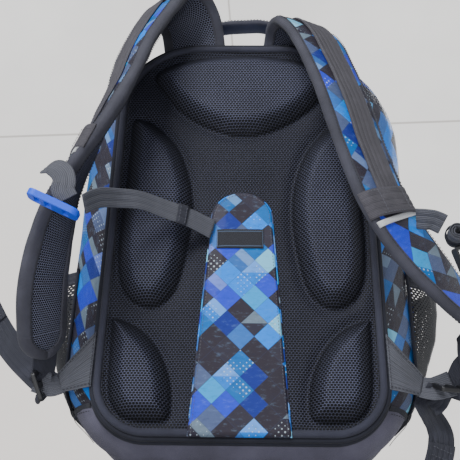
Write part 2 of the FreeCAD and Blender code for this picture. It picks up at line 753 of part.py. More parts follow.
def build_chest_webbing():
    thick = dim("chest_thick")
    add_piece("chest_webbing_left", strip(frames_of(CHEST_LEFT, 14), 0, thick))
    add_piece("chest_tail_left", strip(frames_of(CHEST_TAIL, 9), 0, thick))
    add_piece("chest_webbing_right", Part.makeCompound([
        strip(frames_of(CHEST_RIGHT, 4), 0, thick),
        strip(frames_of(roll_path(), 19), 0, dim("roll_thick")),
    ]))


def build_chest_clip():
    body = new_body("chest_clip")
    pad_rect(body, "ClipOutline", "clip_long", "clip_wide", "clip_thick", symmetric=True)
    round_edges(body, "clip_end_fillet")
    for x in CLIP_SLOTS:
        cut_slot(body, "ClipSlot", "clip_slot_long", "clip_slot_wide", x=at(x))
    round_edges(body, "clip_edge_round", lambda edge: on_faces(edge, "clip_thick"))
    rotation = square_rotation(Vector(0.88, 0.20, -0.42), Vector(0.40, -0.15, 0.90))
    body.Placement = Placement(Vector(-154, -203, 187), rotation)


def build_chest_socket():
    body = new_body("chest_socket")
    pad_rect(body, "SocketOutline", "socket_long", "socket_wide", "clip_thick",
             symmetric=True)
    cut_slot(body, "SocketSlot", "clip_slot_long", "clip_slot_wide", x=at(SOCKET_SLOT))
    # only the outer corners, which lie beyond the slot's ends
    beyond = dim("clip_slot_wide") / 2 + 1
    round_edges(body, "socket_fillet",
                lambda edge: is_upright(edge) and abs(edge.CenterOfMass.y) > beyond)
    rotation = square_rotation(Vector(0.35, 0.25, -0.90), Vector(0.55, -0.83, 0.0))
    body.Placement = Placement(Vector(191, -157, 160), rotation)


# ---------------------------------------------------------------- grab handle
HANDLE = [
    (-47, -60, 439.0, -0.98, 0, 0.15, 8),
    (-45, -61, 451, -0.92, 0, 0.40, 18),
    (-36, -62, 462, -0.50, 0, 0.86, 20),
    (-18, -63, 466.5, -0.10, 0, 1.0, 19),
    (0, -63, 467.5, 0.0, 0, 1.0, 19),
    (18, -63, 468.5, 0.05, 0, 1.0, 19),
    (34, -62, 465, 0.45, 0, 0.88, 20),
    (44, -61, 453, 0.90, 0, 0.42, 18),
    (47, -60, 439.0, 0.98, 0, 0.15, 8),
]


def build_handle():
    half = dim("grab_thick") / 2
    add_piece("grab_handle", strip(frames_of(HANDLE, 25), -half, half))
    # one flat anchor under each end of the handle
    anchors = [box(x - 9, x + 9, y - 12, y + 12, 431.2, 433.2)
               for x, y in (HANDLE[0][:2], HANDLE[-1][:2])]
    add_piece("handle_anchor", Part.makeCompound(anchors))


# ---------------------------------------------------------------- front pockets
POCKET_Y = 99.5  # back of both pockets
POCKET_DEPTH, UPPER_DEPTH = 38.0, 14.0
BEVEL_DEPTH = 9  # the last stretch of depth, over which a pocket narrows
SEAT_GAP = 0.4  # from a pocket's face to what sits on it
POCKET_SEAT = POCKET_Y + POCKET_DEPTH + SEAT_GAP
UPPER_SEAT = POCKET_Y + UPPER_DEPTH + SEAT_GAP
POCKET_ZIP_Z, UPPER_ZIP_Z = 208.0, 322.0
REFLECTOR_Z = 180.0


def pocket_shell(label, section, depth, inset, wall):
    """A pocket open towards the bag, its face narrowed by inset."""
    face = shrink(section, inset, inset / 2)
    bevel_y, face_y = POCKET_Y + depth - BEVEL_DEPTH, POCKET_Y + depth
    outer = loft_ruled([trapezoid(section, POCKET_Y),
                        trapezoid(section, bevel_y),
                        trapezoid(face, face_y)])
    inner = loft_ruled([trapezoid(shrink(section, wall), POCKET_Y - 1),
                        trapezoid(shrink(section, wall), bevel_y - wall),
                        trapezoid(shrink(face, wall), face_y - wall)])
    add_piece(label, solid_of(outer.cut(inner)))


def bound_box(label, long, deep, high, y, mid_z):
    """A box sized by three aliases, centred on X = 0 and on Z = mid_z, its back at y."""
    block = doc.addObject("Part::Box", label)
    block.setExpression("Length", "dims." + long)
    block.setExpression("Width", "dims." + deep)
    block.setExpression("Height", "dims." + high)
    corner = Vector(-dim(long) / 2, y, mid_z - dim(high) / 2)
    block.Placement = Placement(corner, Rotation())
    return block


def straight_zip(label, long, y, mid_z):
    """A tape with a raised coil, along X."""
    fuse = doc.addObject("Part::Fuse", label)
    fuse.Base = bound_box(label + "_tape", long, "tape_thick", "tape_wide", y, mid_z)
    fuse.Tool = bound_box(label + "_coil", long, "coil_depth", "coil_wide", y + 0.5, mid_z)
    fuse.Label = label
    NODES.append(fuse)


# ---------------------------------------------------------------- zip sliders and pulls
def slider(label, placement):
    """Plate on local XY, travel along local X, a bar along local Y on two posts."""
    body = new_body(label)
    pad_rect(body, "Plate", "slider_long", "slider_wide", "slider_thick")
    round_edges(body, "slider_fillet")
    for sign in (-1, 1):
        pad_rect(body, "Post", "post_long", "post_thick", "post_top",
                 y=times(sign, "post_offset"))
    sketch = new_sketch(body, "Bar", "XZ_Plane")
    add_circle(sketch, "bar_radius", "bar_height")
    pad(body, sketch, "bar_long", symmetric=True)
    body.Placement = placement


def pull(label, placement):
    """Eye round local Y at the origin, flat tab along local +X."""
    body = new_body(label)
    sketch = new_sketch(body, "Eye", "XZ_Plane")
    add_circle(sketch, "eye_radius")
    add_circle(sketch, "pull_hole")
    pad(body, sketch, "eye_long", symmetric=True)
    pad_rect(body, "Tab", "pull_long", "pull_wide", "pull_thick", symmetric=True,
             x=times(1, "pull_centre"))
    pad_rect(body, "Neck", "neck_long", "neck_wide", "pull_thick", symmetric=True,
             x=times(1, "neck_centre"))
    far = dim("pull_long") * 0.8
    round_edges(body, "pull_fillet",
                lambda edge: is_upright(edge) and edge.CenterOfMass.x > far)
    body.Placement = placement


def slider_and_pull(slider_label, pull_label, position, rotation):
    """A slider with its pull hung on the bar."""
    slider(slider_label, Placement(position, rotation))
    bar = position + rotation.multVec(Vector(0, 0, dim("bar_height")))
    pull(pull_label, Placement(bar, rotation))


def build_sliders():
    # main zip: two sliders back to back at the crown, local Z up
    crown = section_at(ZIP_Y)[3] - COIL_INSETS[0] + 0.35
    for name, x, turn in (("left", -8.0, 180), ("right", 8.0, 0)):
        slider_and_pull("main_slider_" + name, "main_pull_" + name,
                        Vector(x, ZIP_Y, crown), Rotation(Vector(0, 0, 1), turn))
    # front zips: local Z faces +Y and the pull hangs down, so the bar runs along X
    hang = square_rotation(Vector(0, 0, -1), Vector(0, 1, 0))
    lift = 0.5 + dim("coil_depth") + 0.3
    slider_and_pull("pocket_slider", "pocket_pull",
                    Vector(-76, POCKET_SEAT + lift, POCKET_ZIP_Z), hang)
    slider_and_pull("upper_slider", "upper_pull",
                    Vector(50, UPPER_SEAT + lift, UPPER_ZIP_Z), hang)


# ---------------------------------------------------------------- build
build_carcass()
build_main_zip()
build_panel()
foam_pad("pad_top", PAD_TOP)
for side_name, side_sign in (("right", 1), ("left", -1)):
    foam_pad("pad_mid_" + side_name, PAD_MID, side_sign)
    foam_pad("pad_low_" + side_name, PAD_LOW, side_sign)
    mesh_pocket("mesh_pocket_" + side_name, side_sign)
    strap_wing("strap_wing_" + side_name, side_sign)
build_tongue()
build_stiffeners()

shoulder_strap("left", STRAP_LEFT)
shoulder_strap("right", STRAP_RIGHT)
ladder_lock("ladder_lock_left", centre=(-174, -92.5, 67),
            along=(0.10, 0.45, -0.87), outward=(-0.95, 0.12, -0.28))
ladder_lock("ladder_lock_right", centre=(180, -89, 69),
            along=(-0.95, -0.25, -0.02), outward=(0.10, -0.42, 0.90))
lower_webbing("lower_webbing_left", WEB_LEFT, TAIL_LEFT)
lower_webbing("lower_webbing_right", WEB_RIGHT, TAIL_RIGHT)
build_chest_webbing()
build_chest_clip()
build_chest_socket()
build_handle()

pocket_shell("front_pocket", (106, 100, 66, 236, 34, 34), POCKET_DEPTH, inset=9, wall=3)
pocket_shell("upper_pocket", (92, 84, 246, 346, 30, 30), UPPER_DEPTH, inset=4, wall=2.5)
straight_zip("pocket_zip", "pocket_zip_long", POCKET_SEAT, POCKET_ZIP_Z)
straight_zip("upper_zip", "upper_zip_long", UPPER_SEAT, UPPER_ZIP_Z)
build_sliders()
NODES.append(bound_box("front_reflector", "reflector_long", "reflector_thick",
                       "reflector_high", POCKET_SEAT, REFLECTOR_Z))

# ---------------------------------------------------------------- check and write
doc.recompute()
for item in doc.Objects:
    if "Invalid" in item.State or "Error" in item.State:
        raise RuntimeError("object %s failed: %s" % (item.Label, item.State))
labels = [node.Label for node in NODES]
if len(set(labels)) != len(labels):
    raise RuntimeError("labels repeat: %s" % sorted(n for n in labels if labels.count(n) > 1))
for node in NODES:
    shape = node.Shape
    if (shape.isNull() or not shape.isValid() or not shape.Solids
            or any(solid.Volume <= 0 for solid in shape.Solids)):
        raise RuntimeError("shape of %s is not valid" % node.Label)
os.makedirs("parts", exist_ok=True)
for node in NODES:
    node.Shape.exportStep(os.path.join("parts", node.Label + ".step"))
print("wrote %d parts" % len(NODES))
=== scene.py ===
"""A backpack that stands on the floor, built as sewn cloth, webbing and moulded parts.

X runs across the bag, Y through its depth and Z up from the floor. The padded back panel and
the shoulder straps face -Y; the cover and its pockets face +Y. "Left" is -X and "right" is +X.
Lengths are in millimetres until make() turns them into metres. Shader values and the stage
(camera, lights, floor, backdrop) are in metres.
"""
import math
from contextlib import contextmanager
from itertools import product

import bmesh
import bpy
import numpy as np
from mathutils import Matrix, Vector


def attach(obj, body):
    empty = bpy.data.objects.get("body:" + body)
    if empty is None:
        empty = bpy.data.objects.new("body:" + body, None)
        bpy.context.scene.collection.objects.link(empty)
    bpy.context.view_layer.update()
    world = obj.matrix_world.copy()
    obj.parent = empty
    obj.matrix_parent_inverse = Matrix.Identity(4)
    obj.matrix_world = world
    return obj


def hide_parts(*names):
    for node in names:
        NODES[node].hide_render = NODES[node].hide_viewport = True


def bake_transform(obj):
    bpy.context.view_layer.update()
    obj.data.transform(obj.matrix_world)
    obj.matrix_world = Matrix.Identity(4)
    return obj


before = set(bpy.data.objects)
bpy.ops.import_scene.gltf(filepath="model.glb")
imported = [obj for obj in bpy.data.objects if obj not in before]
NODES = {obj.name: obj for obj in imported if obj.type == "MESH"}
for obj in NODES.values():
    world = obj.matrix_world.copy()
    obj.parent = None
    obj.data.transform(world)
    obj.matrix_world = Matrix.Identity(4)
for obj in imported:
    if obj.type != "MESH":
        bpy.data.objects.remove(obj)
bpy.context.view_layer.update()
MM = 0.001
TO_BACK = np.array([0, -1.0, 0])
TO_FRONT = np.array([0, 1.0, 0])
UPWARD = np.array([0, 0, 1.0])


# ------------------------------------------------------------------ noise and small maths
def lattice(cell, seed):
    """A fixed random value in -1..1 for every whole-numbered cell."""
    with np.errstate(over="ignore"):
        n = cell[..., 0] * 73856093 ^ cell[..., 1] * 19349663 ^ cell[..., 2] * 83492791
        n = n ^ (seed * 2654435761)
        n = (n ^ (n >> 13)) * 1274126177
        n = n ^ (n >> 16)
    return ((n & 0xFFFFFF) / float(0xFFFFFF)) * 2 - 1


def vnoise(P, scale, seed=0):
    """Smooth value noise in -1..1 at the points P; scale is the cell size."""
    Q = np.asarray(P, float) / scale
    cell = np.floor(Q).astype(np.int64)
    f = Q - cell
    f = f * f * (3 - 2 * f)
    total = 0
    for corner in product((0, 1), repeat=3):
        weight = np.where(corner, f, 1 - f).prod(-1)
        total = total + weight * lattice(cell + corner, seed)
    return total


def fbm(P, scale, seed=0, octaves=3):
    """Layered noise: each octave is half the size and half the strength of the last."""
    total = 0
    for k in range(octaves):
        total = total + 0.5 ** k * vnoise(P, scale / 2 ** k, seed + k * 17)
    return total / 1.75


def unit(v):
    v = np.asarray(v, float)
    length = np.linalg.norm(v, axis=-1, keepdims=True)
    length[length == 0] = 1
    return v / length


def smooth01(x):
    x = np.clip(x, 0, 1)
    return x * x * (3 - 2 * x)


def signed_power(x, power):
    return np.sign(x) * np.abs(x) ** power


def spline(p0, p1, p2, p3, f):
    """Catmull-Rom value between p1 and p2."""
    return 0.5 * (2 * p1 + (p2 - p0) * f + (2 * p0 - 5 * p1 + 4 * p2 - p3) * f ** 2
                  + (3 * p1 - p0 - 3 * p2 + p3) * f ** 3)


def catmull(rows, n):
    """n samples of the open spline through rows; every column is interpolated."""
    rows = np.asarray(rows, float)
    m = len(rows) - 1
    t = np.linspace(0, m, n)
    i = np.minimum(t.astype(int), m - 1)
    return spline(rows[np.maximum(i - 1, 0)], rows[i], rows[i + 1],
                  rows[np.minimum(i + 2, m)], (t - i)[:, None])


def closed_curve(points, n=160, mirror=1):
    """n samples of the closed spline through (x, z) points; mirror = -1 flips X."""
    P = np.array(points, float) * (mirror, 1)
    m = len(P)
    t = np.linspace(0, m, n, endpoint=False)
    i = t.astype(int)
    return spline(P[(i - 1) % m], P[i % m], P[(i + 1) % m], P[(i + 2) % m], (t - i)[:, None])


def path_and_normals(rows, n):
    """Spline through rows of x, y, z and an outward direction."""
    r = catmull(rows, n)
    return r[:, :3], unit(r[:, 3:6])


def arclen(P):
    return np.concatenate([[0], np.cumsum(np.linalg.norm(np.diff(P, axis=0), axis=1))])


def interp_rows(q, s, A):
    """The rows of A, known at positions s, read at q."""
    return np.stack([np.interp(q, s, A[:, k]) for k in range(A.shape[1])], -1)


def resample(P, n=None, step=None):
    P = np.asarray(P, float)
    s = arclen(P)
    if n is None:
        n = max(int(round(s[-1] / step)), 4) + 1
    return interp_rows(np.linspace(0, s[-1], n), s, P)


def smooth_path(P, rounds=3):
    P = np.array(P, float)
    for _ in range(rounds):
        Q = P.copy()
        Q[1:-1] = 0.5 * P[1:-1] + 0.25 * (P[:-2] + P[2:])
        P = Q
    return P


def wave(P, N, amp, scale, seed):
    """Lets a path drift along its normals."""
    return P + N * (vnoise(P, scale, seed) * amp)[:, None]


def path_frame(P, N):
    """Tangents, normals squared to them, and the directions across the path."""
    T = unit(np.gradient(P, axis=0))
    N = unit(N - T * (N * T).sum(1, keepdims=True))
    return T, N, np.cross(T, N)


def away(N, P, centre):
    """Normals N of the points P, turned as a whole to look away from centre."""
    return -N if np.mean(((P - np.array(centre)) * N).sum(-1)) < 0 else N


# ------------------------------------------------------------------ mesh building
def make(name, V, F, material, loop_uv=None):
    """Smooth-shaded object from mm vertices; loop_uv is in mm, one row per face corner."""
    me = bpy.data.meshes.new(name)
    me.from_pydata((np.asarray(V, float) * MM).tolist(), [], [tuple(map(int, f)) for f in F])
    if loop_uv is not None:
        layer = me.uv_layers.new(name="UVMap")
        layer.data.foreach_set("uv", (np.asarray(loop_uv, float) * MM).astype(np.float32).ravel())
    me.materials.append(material)
    me.polygons.foreach_set("use_smooth", [True] * len(me.polygons))
    me.validate()
    me.update()
    o = bpy.data.objects.new(name, me)
    bpy.context.scene.collection.objects.link(o)
    return o


def grid_arrays(P, UV, close_rows=False, close_cols=False, flip=False):
    """Vertices, quads and per-corner UVs of a (rows, cols, 3) grid.

    A closed direction needs one extra row or column of UV.
    """
    nu, nv = P.shape[:2]
    I, J = np.meshgrid(np.arange(nu if close_rows else nu - 1),
                       np.arange(nv if close_cols else nv - 1), indexing="ij")
    I, J = I.ravel(), J.ravel()
    corners = [(I, J), (I + 1, J), (I + 1, J + 1), (I, J + 1)]
    if flip:
        corners = corners[:1] + corners[:0:-1]
    F = np.stack([(a % nu) * nv + b % nv for a, b in corners], 1)
    return P.reshape(-1, 3), F, np.stack([UV[a, b] for a, b in corners], 1).reshape(-1, 2)


def grid(P, UV, material, close_cols=False, flip=False, name="part"):
    V, F, loop_uv = grid_arrays(P, UV, False, close_cols, flip)
    return make(name, V, F, material, loop_uv)


def pair(u, v):
    """UV grid from two arrays that broadcast together."""
    return np.stack(np.broadcast_arrays(u, v), -1)


def close_cols(A):
    return np.concatenate([A, A[:, :1]], 1)


def capped(F, loop_uv, rows, ring, cap_u=None):
    """Adds a face over each end of a swept ring."""
    first, last = list(range(ring)), [(rows - 1) * ring + k for k in range(ring)]
    u = np.zeros(ring) if cap_u is None else cap_u
    cap = np.stack([u, np.zeros(ring)], 1)
    return F.tolist() + [first, last[::-1]], np.concatenate([loop_uv, cap, cap[::-1]])


@contextmanager
def edited(o):
    bm = bmesh.new()
    bm.from_mesh(o.data)
    yield bm
    bm.to_mesh(o.data)
    bm.free()
    o.data.update()


def weld(o, distance):
    with edited(o) as bm:
        bmesh.ops.remove_doubles(bm, verts=bm.verts[:], dist=distance * MM)


def recalc_normals(o):
    with edited(o) as bm:
        bmesh.ops.recalc_face_normals(bm, faces=bm.faces[:])
    return o


def cut(o, point, normal):
    """Removes what lies on the positive side of the plane."""
    with edited(o) as bm:
        geom = bm.verts[:] + bm.edges[:] + bm.faces[:]
        bmesh.ops.bisect_plane(bm, geom=geom, dist=1e-6, plane_co=Vector(point) * MM,
                               plane_no=Vector(normal), clear_outer=True)


def face_out(o, centre=(0, 0, 210)):
    """Turns the mesh so that its normals look away from centre."""
    c = Vector(centre) * MM
    if sum((p.center - c).dot(p.normal) * p.area for p in o.data.polygons) < 0:
        o.data.flip_normals()


def face_towards(o, direction):
    d = Vector(direction)
    if sum(p.normal.dot(d) * p.area for p in o.data.polygons) < 0:
        o.data.flip_normals()


def solid(o, thickness, offset=-1.0, lining=None):
    """Cloth thickness; lining is the material of the hidden face."""
    m = o.modifiers.new("thick", "SOLIDIFY")
    m.thickness = thickness * MM
    m.offset = offset
    m.use_even_offset = False
    m.use_quality_normals = True
    if lining is not None:
        o.data.materials.append(lining)
        m.material_offset = len(o.data.materials) - 1


def solid_applied(o, thickness, offset=-1.0):
    solid(o, thickness, offset)
    bpy.context.view_layer.objects.active = o
    bpy.ops.object.modifier_apply(modifier="thick")


def bevel(o, width):
    m = o.modifiers.new("bevel", "BEVEL")
    m.width = width * MM
    m.segments = 2
    m.limit_method = "ANGLE"
    m.angle_limit = math.radians(35)


def join(name, parts):
    bpy.ops.object.select_all(action="DESELECT")
    for o in parts:
        o.select_set(True)
    bpy.context.view_layer.objects.active = parts[0]
    bpy.ops.object.join()
    o = bpy.context.view_layer.objects.active
    o.name = name
    o.data.name = name
    return o


def place(o, body, slot, *nodes):
    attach(o, body)
    if nodes:
        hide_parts(*nodes)


def tube(P, r, material, closed=False, seg=10, squash=(1, 1), name="part"):
    """Swept tube; squash scales its section (side, up). UV: u around, v along."""
    if closed:
        T = unit(np.roll(P, -1, 0) - np.roll(P, 1, 0))
    else:
        T = unit(np.gradient(P, axis=0))
    # the up vector is carried along the path without twist
    U = np.zeros_like(P)
    up = unit(np.cross(T[0], [0.13, 0.97, 0.2]))
    for i in range(len(P)):
        up = up - T[i] * (up @ T[i])
        up /= np.linalg.norm(up)
        U[i] = up
    S = np.cross(T, U)
    a = np.linspace(0, 2 * math.pi, seg, endpoint=False)[None, :, None]
    G = (P[:, None] + r * np.cos(a) * squash[0] * S[:, None]
         + r * np.sin(a) * squash[1] * U[:, None])
    s = arclen(np.vstack([P, P[:1]])) if closed else arclen(P)
    around = np.linspace(0, 2 * math.pi * r * (squash[0] + squash[1]) / 2, seg + 1)
    V, F, loop_uv = grid_arrays(G, pair(around[None], s[:, None]), closed, True)
    F, loop_uv = F[:, ::-1], loop_uv.reshape(-1, 4, 2)[:, ::-1].reshape(-1, 2)
    if not closed:
        F, loop_uv = capped(F, loop_uv, len(P), seg)
    return make(name, V, F, material, loop_uv)


def swept_band(P, N, width, upper, lower, under_u, material, name):
    """Sweeps a flat profile: heights upper and lower at even stations across the width.

    under_u shifts the underside's UVs off the top's.
    """
    P = np.asarray(P, float)
    _, N, A = path_frame(P, np.broadcast_to(N, P.shape))
    W = np.broadcast_to(np.asarray(width, float), (len(P),))
    m = len(upper)
    across = np.linspace(-1, 1, m)
    across = np.concatenate([across, across[::-1]])
    height = np.concatenate([upper, lower[::-1]])
    G = (P[:, None] + A[:, None] * (across[None] * W[:, None] / 2)[..., None]
         + N[:, None] * height[None, :, None])
    u = across * np.mean(W) / 2
    u[m:] += under_u
    UV = pair(np.append(u, u[-1])[None], arclen(P)[:, None])
    V, F, loop_uv = grid_arrays(G, UV, False, True, flip=True)
    F, loop_uv = capped(F, loop_uv, len(P), 2 * m, u)
    return make(name, V, F, material, loop_uv)


def ribbon(P, N, width, thick, material, name="part"):
    """Plain flat band with thinned edges over a path with outward normals."""
    upper = np.full(7, thick / 2)
    upper[[0, -1]] *= 0.35
    return swept_band(P, N, width, upper, -upper, 100.0, material, name)


def rib_band(P, N, width, thick, material, ribs=5, name="part"):
    """Webbing with raised lengthwise ribs."""
    phase = np.linspace(0, 1, ribs * 8 + 1) * ribs
    upper = thick / 2 * (0.45 + 0.75 * np.sqrt(np.abs(np.sin(np.pi * phase)) + 1e-9))
    lower = np.full(len(phase), -thick / 2)
    upper[[0, -1]], lower[[0, -1]] = thick * 0.12, -thick * 0.12
    return recalc_normals(swept_band(P, N, width, upper, lower, 90, material, name))


BEAD_RING = 6


def beads(G, material, first_corner=0, name="part"):
    """Many small closed bodies in one mesh; G is (bodies, stations, ring, 3)."""
    n, stations, ring = G.shape[:3]
    base = np.arange(n) * stations * ring
    F = []
    for i, j in product(range(stations - 1), range(ring)):
        near, far, j1 = base + i * ring, base + (i + 1) * ring, (j + 1) % ring
        F.append(np.stack([near + j1, far + j1, far + j, near + j], 1))
    F = np.roll(np.concatenate(F), first_corner, axis=1).tolist()
    for b in base:
        F.append([b + j for j in range(ring)])
        F.append([b + (stations - 1) * ring + j for j in range(ring)][::-1])
    return make(name, G.reshape(-1, 3), F, material)


# one stitch: place along (share of its length), share of the radius, lift (in radii)
STITCH = [(-0.5, 0.25, -0.5), (-0.36, 0.9, 0.0), (0.0, 1.0, 0.25), (0.36, 0.9, 0.0),
          (0.5, 0.25, -0.5)]


def stitches(P, N, material, pitch=3.4, length=2.3, r=0.38, closed=False, offset=0.15,
             name="part"):
    """A row of thread stitches: small capsules lying on a path with outward normals."""
    P = np.asarray(P, float)
    N = np.broadcast_to(np.asarray(N, float), P.shape)
    if closed:
        P, N = np.vstack([P, P[:1]]), np.vstack([N, N[:1]])
    s = arclen(P)
    at = np.arange(pitch / 2, s[-1], pitch)
    C, M = interp_rows(at, s, P), unit(interp_rows(at, s, N))
    D = unit(interp_rows(at + 0.3, s, P) - interp_rows(at - 0.3, s, P))
    M = unit(M - D * (M * D).sum(1, keepdims=True))
    B = np.cross(D, M)
    a = np.linspace(0, 2 * math.pi, BEAD_RING, endpoint=False)[None, :, None]
    circle = B[:, None] * np.cos(a) + M[:, None] * np.sin(a)
    G = [C[:, None] + D[:, None] * (along * length) + circle * (r * share)
         + M[:, None] * (lift * r + offset) for along, share, lift in STITCH]
    return beads(np.stack(G, 1), material, name=name)


# ------------------------------------------------------------------ materials
class Shader:
    """A material under construction; without rough it gets no Principled shader."""

    def __init__(self, name, rough=None, spec=0.4, sheen=0.0, metallic=0.0, coat=0.0):
        self.m = bpy.data.materials.new(name)
        self.m.use_nodes = True
        self.t = self.m.node_tree
        self.t.nodes.clear()
        self.out = self.node("ShaderNodeOutputMaterial")
        if rough is None:
            return
        self.b = self.node("ShaderNodeBsdfPrincipled")
        self.put(self.out.inputs[0], self.b.outputs[0])
        for socket, value in (("Roughness", rough), ("Specular IOR Level", spec),
                              ("Metallic", metallic), ("Sheen Weight", sheen),
                              ("Sheen Roughness", 0.5), ("Coat Weight", coat)):
            self.b.inputs[socket].default_value = value

    def node(self, kind, **settings):
        n = self.t.nodes.new(kind)
        for key, value in settings.items():
            setattr(n, key, value)
        return n

    def put(self, socket, value):
        """Sets a socket from a number or a colour, or links it."""
        if isinstance(value, (int, float)):
            socket.default_value = value
        elif isinstance(value, tuple):
            socket.default_value = value + (1.0,)
        else:
            self.t.links.new(value, socket)

    def wired(self, kind, inputs, output=0, **settings):
        """A node with its inputs set; returns one output."""
        n = self.node(kind, **settings)
        for key, value in inputs.items():
            self.put(n.inputs[key], value)
        return n.outputs[output]

    def math(self, op, *operands, clamp=False):
        return self.wired("ShaderNodeMath", dict(enumerate(operands)), operation=op,
                          use_clamp=clamp)

    def add(self, a, b):
        return self.math("ADD", a, b)

    def sub(self, a, b):
        return self.math("SUBTRACT", a, b)

    def mul(self, a, b):
        return self.math("MULTIPLY", a, b)

    def fit(self, x, gain, plus, clamp=True):
        return self.math("MULTIPLY_ADD", x, gain, plus, clamp=clamp)

    def step(self, x, lo, hi):
        """Smooth rise from 0 at lo to 1 at hi."""
        return self.wired("ShaderNodeMapRange", {0: x, 1: lo, 2: hi},
                          interpolation_type="SMOOTHSTEP")

    def mix(self, amount, a, b):
        return self.wired("ShaderNodeMix", {0: amount, 6: a, 7: b}, 2, data_type="RGBA",
                          blend_type="MIX")

    def split(self, vector):
        n = self.node("ShaderNodeSeparateXYZ")
        self.t.links.new(vector, n.inputs[0])
        return n.outputs

    def uv(self):
        return self.split(self.node("ShaderNodeUVMap", uv_map="UVMap").outputs[0])[:2]

    def position(self):
        return self.node("ShaderNodeTexCoord").outputs["Object"]

    def geometry(self, output):
        return self.node("ShaderNodeNewGeometry").outputs[output]

    def vec(self, x, y, z=0.0):
        return self.wired("ShaderNodeCombineXYZ", {0: x, 1: y, 2: z})

    def noise(self, at, scale, detail=2.0, rough=0.5):
        return self.wired("ShaderNodeTexNoise", {"Vector": at, "Scale": scale,
                                                 "Detail": detail, "Roughness": rough})

    def white(self, at):
        return self.wired("ShaderNodeTexWhiteNoise", {"Vector": at}, noise_dimensions="3D")

    def sine(self, x, pitch):
        """Sine along a coordinate in metres; pitch in mm."""
        return self.math("SINE", self.mul(x, 2 * math.pi * 1000.0 / pitch))

    def stairs(self, x, stops):
        """Colour ramp with hard steps."""
        n = self.node("ShaderNodeValToRGB")
        self.put(n.inputs[0], x)
        n.color_ramp.interpolation = "CONSTANT"
        elements = n.color_ramp.elements
        while len(elements) < len(stops):
            elements.new(0.5)
        for element, (at, colour) in zip(elements, stops):
            element.position = at
            element.color = colour + (1.0,)
        return n.outputs[0]

    def bump(self, height, depth, strength):
        return self.wired("ShaderNodeBump", {"Strength": strength, "Distance": depth,
                                             "Height": height})

    def hole_distance(self, u, v, pitch, radius):
        """Distance from the nearest of staggered oval holes, 1 at the rim.

        pitch: (across, along) in mm; radius: (across, along) as shares of the pitch.
        """
        x = self.mul(u, 1000.0 / pitch[0])
        y = self.mul(v, 1000.0 / pitch[1])
        odd = self.mul(self.math("FLOORED_MODULO", self.math("FLOOR", y), 2.0), 0.5)
        x = self.add(x, odd)
        squares = []
        for coord, r in ((x, radius[0]), (y, radius[1])):
            off = self.sub(self.math("FRACT", coord), 0.5)
            squares.append(self.math("POWER", self.mul(off, 1.0 / r), 2.0))
        return self.math("SQRT", self.add(*squares))

    def joint(self, coord, at, half, soft=0.0009):
        """1 on a line of half-width half, fading over soft (metres)."""
        return self.step(self.math("ABSOLUTE", self.sub(coord, at)), lo=half + soft, hi=half)

    def surface(self, factor, first, second):
        """Sends a mix of two shaders to the output."""
        mixed = self.wired("ShaderNodeMixShader", {0: factor, 1: first, 2: second})
        self.put(self.out.inputs[0], mixed)

    def clear(self):
        return self.node("ShaderNodeBsdfTransparent").outputs[0]

    def finish(self, colour, normal=None, rough=None, alpha=None):
        for socket, value in (("Base Color", colour), ("Normal", normal),
                              ("Roughness", rough)):
            if value is not None:
                self.put(self.b.inputs[socket], value)
        if alpha is not None:
            self.surface(alpha, self.clear(), self.b.outputs[0])
        return self.m


def lin(r, g, b):
    """sRGB 0..255 to linear."""
    def channel(c):
        c = c / 255.0
        return c / 12.92 if c <= 0.04045 else ((c + 0.055) / 1.055) ** 2.4
    return channel(r), channel(g), channel(b)


def tint(colour, gain, plus=0.0):
    return tuple(min(1.0, x * gain + plus) for x in colour)


def spacer_mesh(name, thread, pitch, painted_pad_shade=False):
    """Knitted mesh with staggered dark holes; the back panel's copy gets painted shade in its
    grooves and on its steep flanks.
    """
    hole = 0.49
    M = Shader(name, rough=0.66, spec=0.22)
    u, v = M.uv()
    pos = M.position()
    sway = M.mul(M.sub(M.noise(pos, scale=45.0), 0.5), 0.0012)
    u = M.add(u, sway)
    yarn = M.step(M.hole_distance(u, v, pitch, (hole, hole * 1.12)), lo=0.66, hi=1.04)
    fibre = M.noise(M.vec(M.mul(u, 1.0), M.mul(v, 1.0)), scale=2600.0, detail=1.0)
    tone = M.noise(pos, scale=9.0, detail=3.0)
    colour = M.mix(M.mul(fibre, 0.55), lin(*thread), tint(lin(*thread), gain=1.9))
    colour = M.mix(M.step(tone, lo=0.35, hi=0.75), M.mix(0.28, colour, (0.0, 0.0, 0.0)), colour)
    if painted_pad_shade:
        # painted shade: the low land and the grooves round the pads are darkened
        y = M.split(M.position())[1]
        low = M.step(y, lo=-0.1055, hi=-0.0966)
        colour = M.mix(M.mul(low, 0.48), colour, (0.010, 0.010, 0.015))
        # painted shade: slopes that turn away from the back are darkened, as if in shadow
        facing = M.math("ABSOLUTE", M.split(M.geometry("Normal"))[1])
        painted_flank_shade = M.step(facing, lo=0.93, hi=0.60)
        colour = M.mix(M.mul(painted_flank_shade, 0.66), colour, (0.008, 0.008, 0.012))
    colour = M.mix(yarn, lin(3, 3, 5), colour)
    fine = M.noise(pos, scale=900.0)
    height = M.add(M.mul(yarn, 1.0), M.mul(fine, 0.12))
    return M.finish(colour, M.bump(height, depth=0.0010, strength=0.9),
                    rough=M.add(0.62, M.mul(yarn, 0.12)))


# share of the cells below which each colour of the print begins, and its linear colour
PRINT_COLOURS = [
    (0.0, (.026, .021, .031)), (0.26, (0.0, .225, .86)), (0.37, (.022, .050, .62)),
    (0.48, (.030, .150, .50)), (0.59, (.030, .026, .040)), (0.70, (.075, .105, .22)),
    (0.78, (0.0, .130, .44)), (0.87, (.19, .56, .80)), (0.91, (.010, .026, .24)),
    (0.96, (.015, .33, .74))]


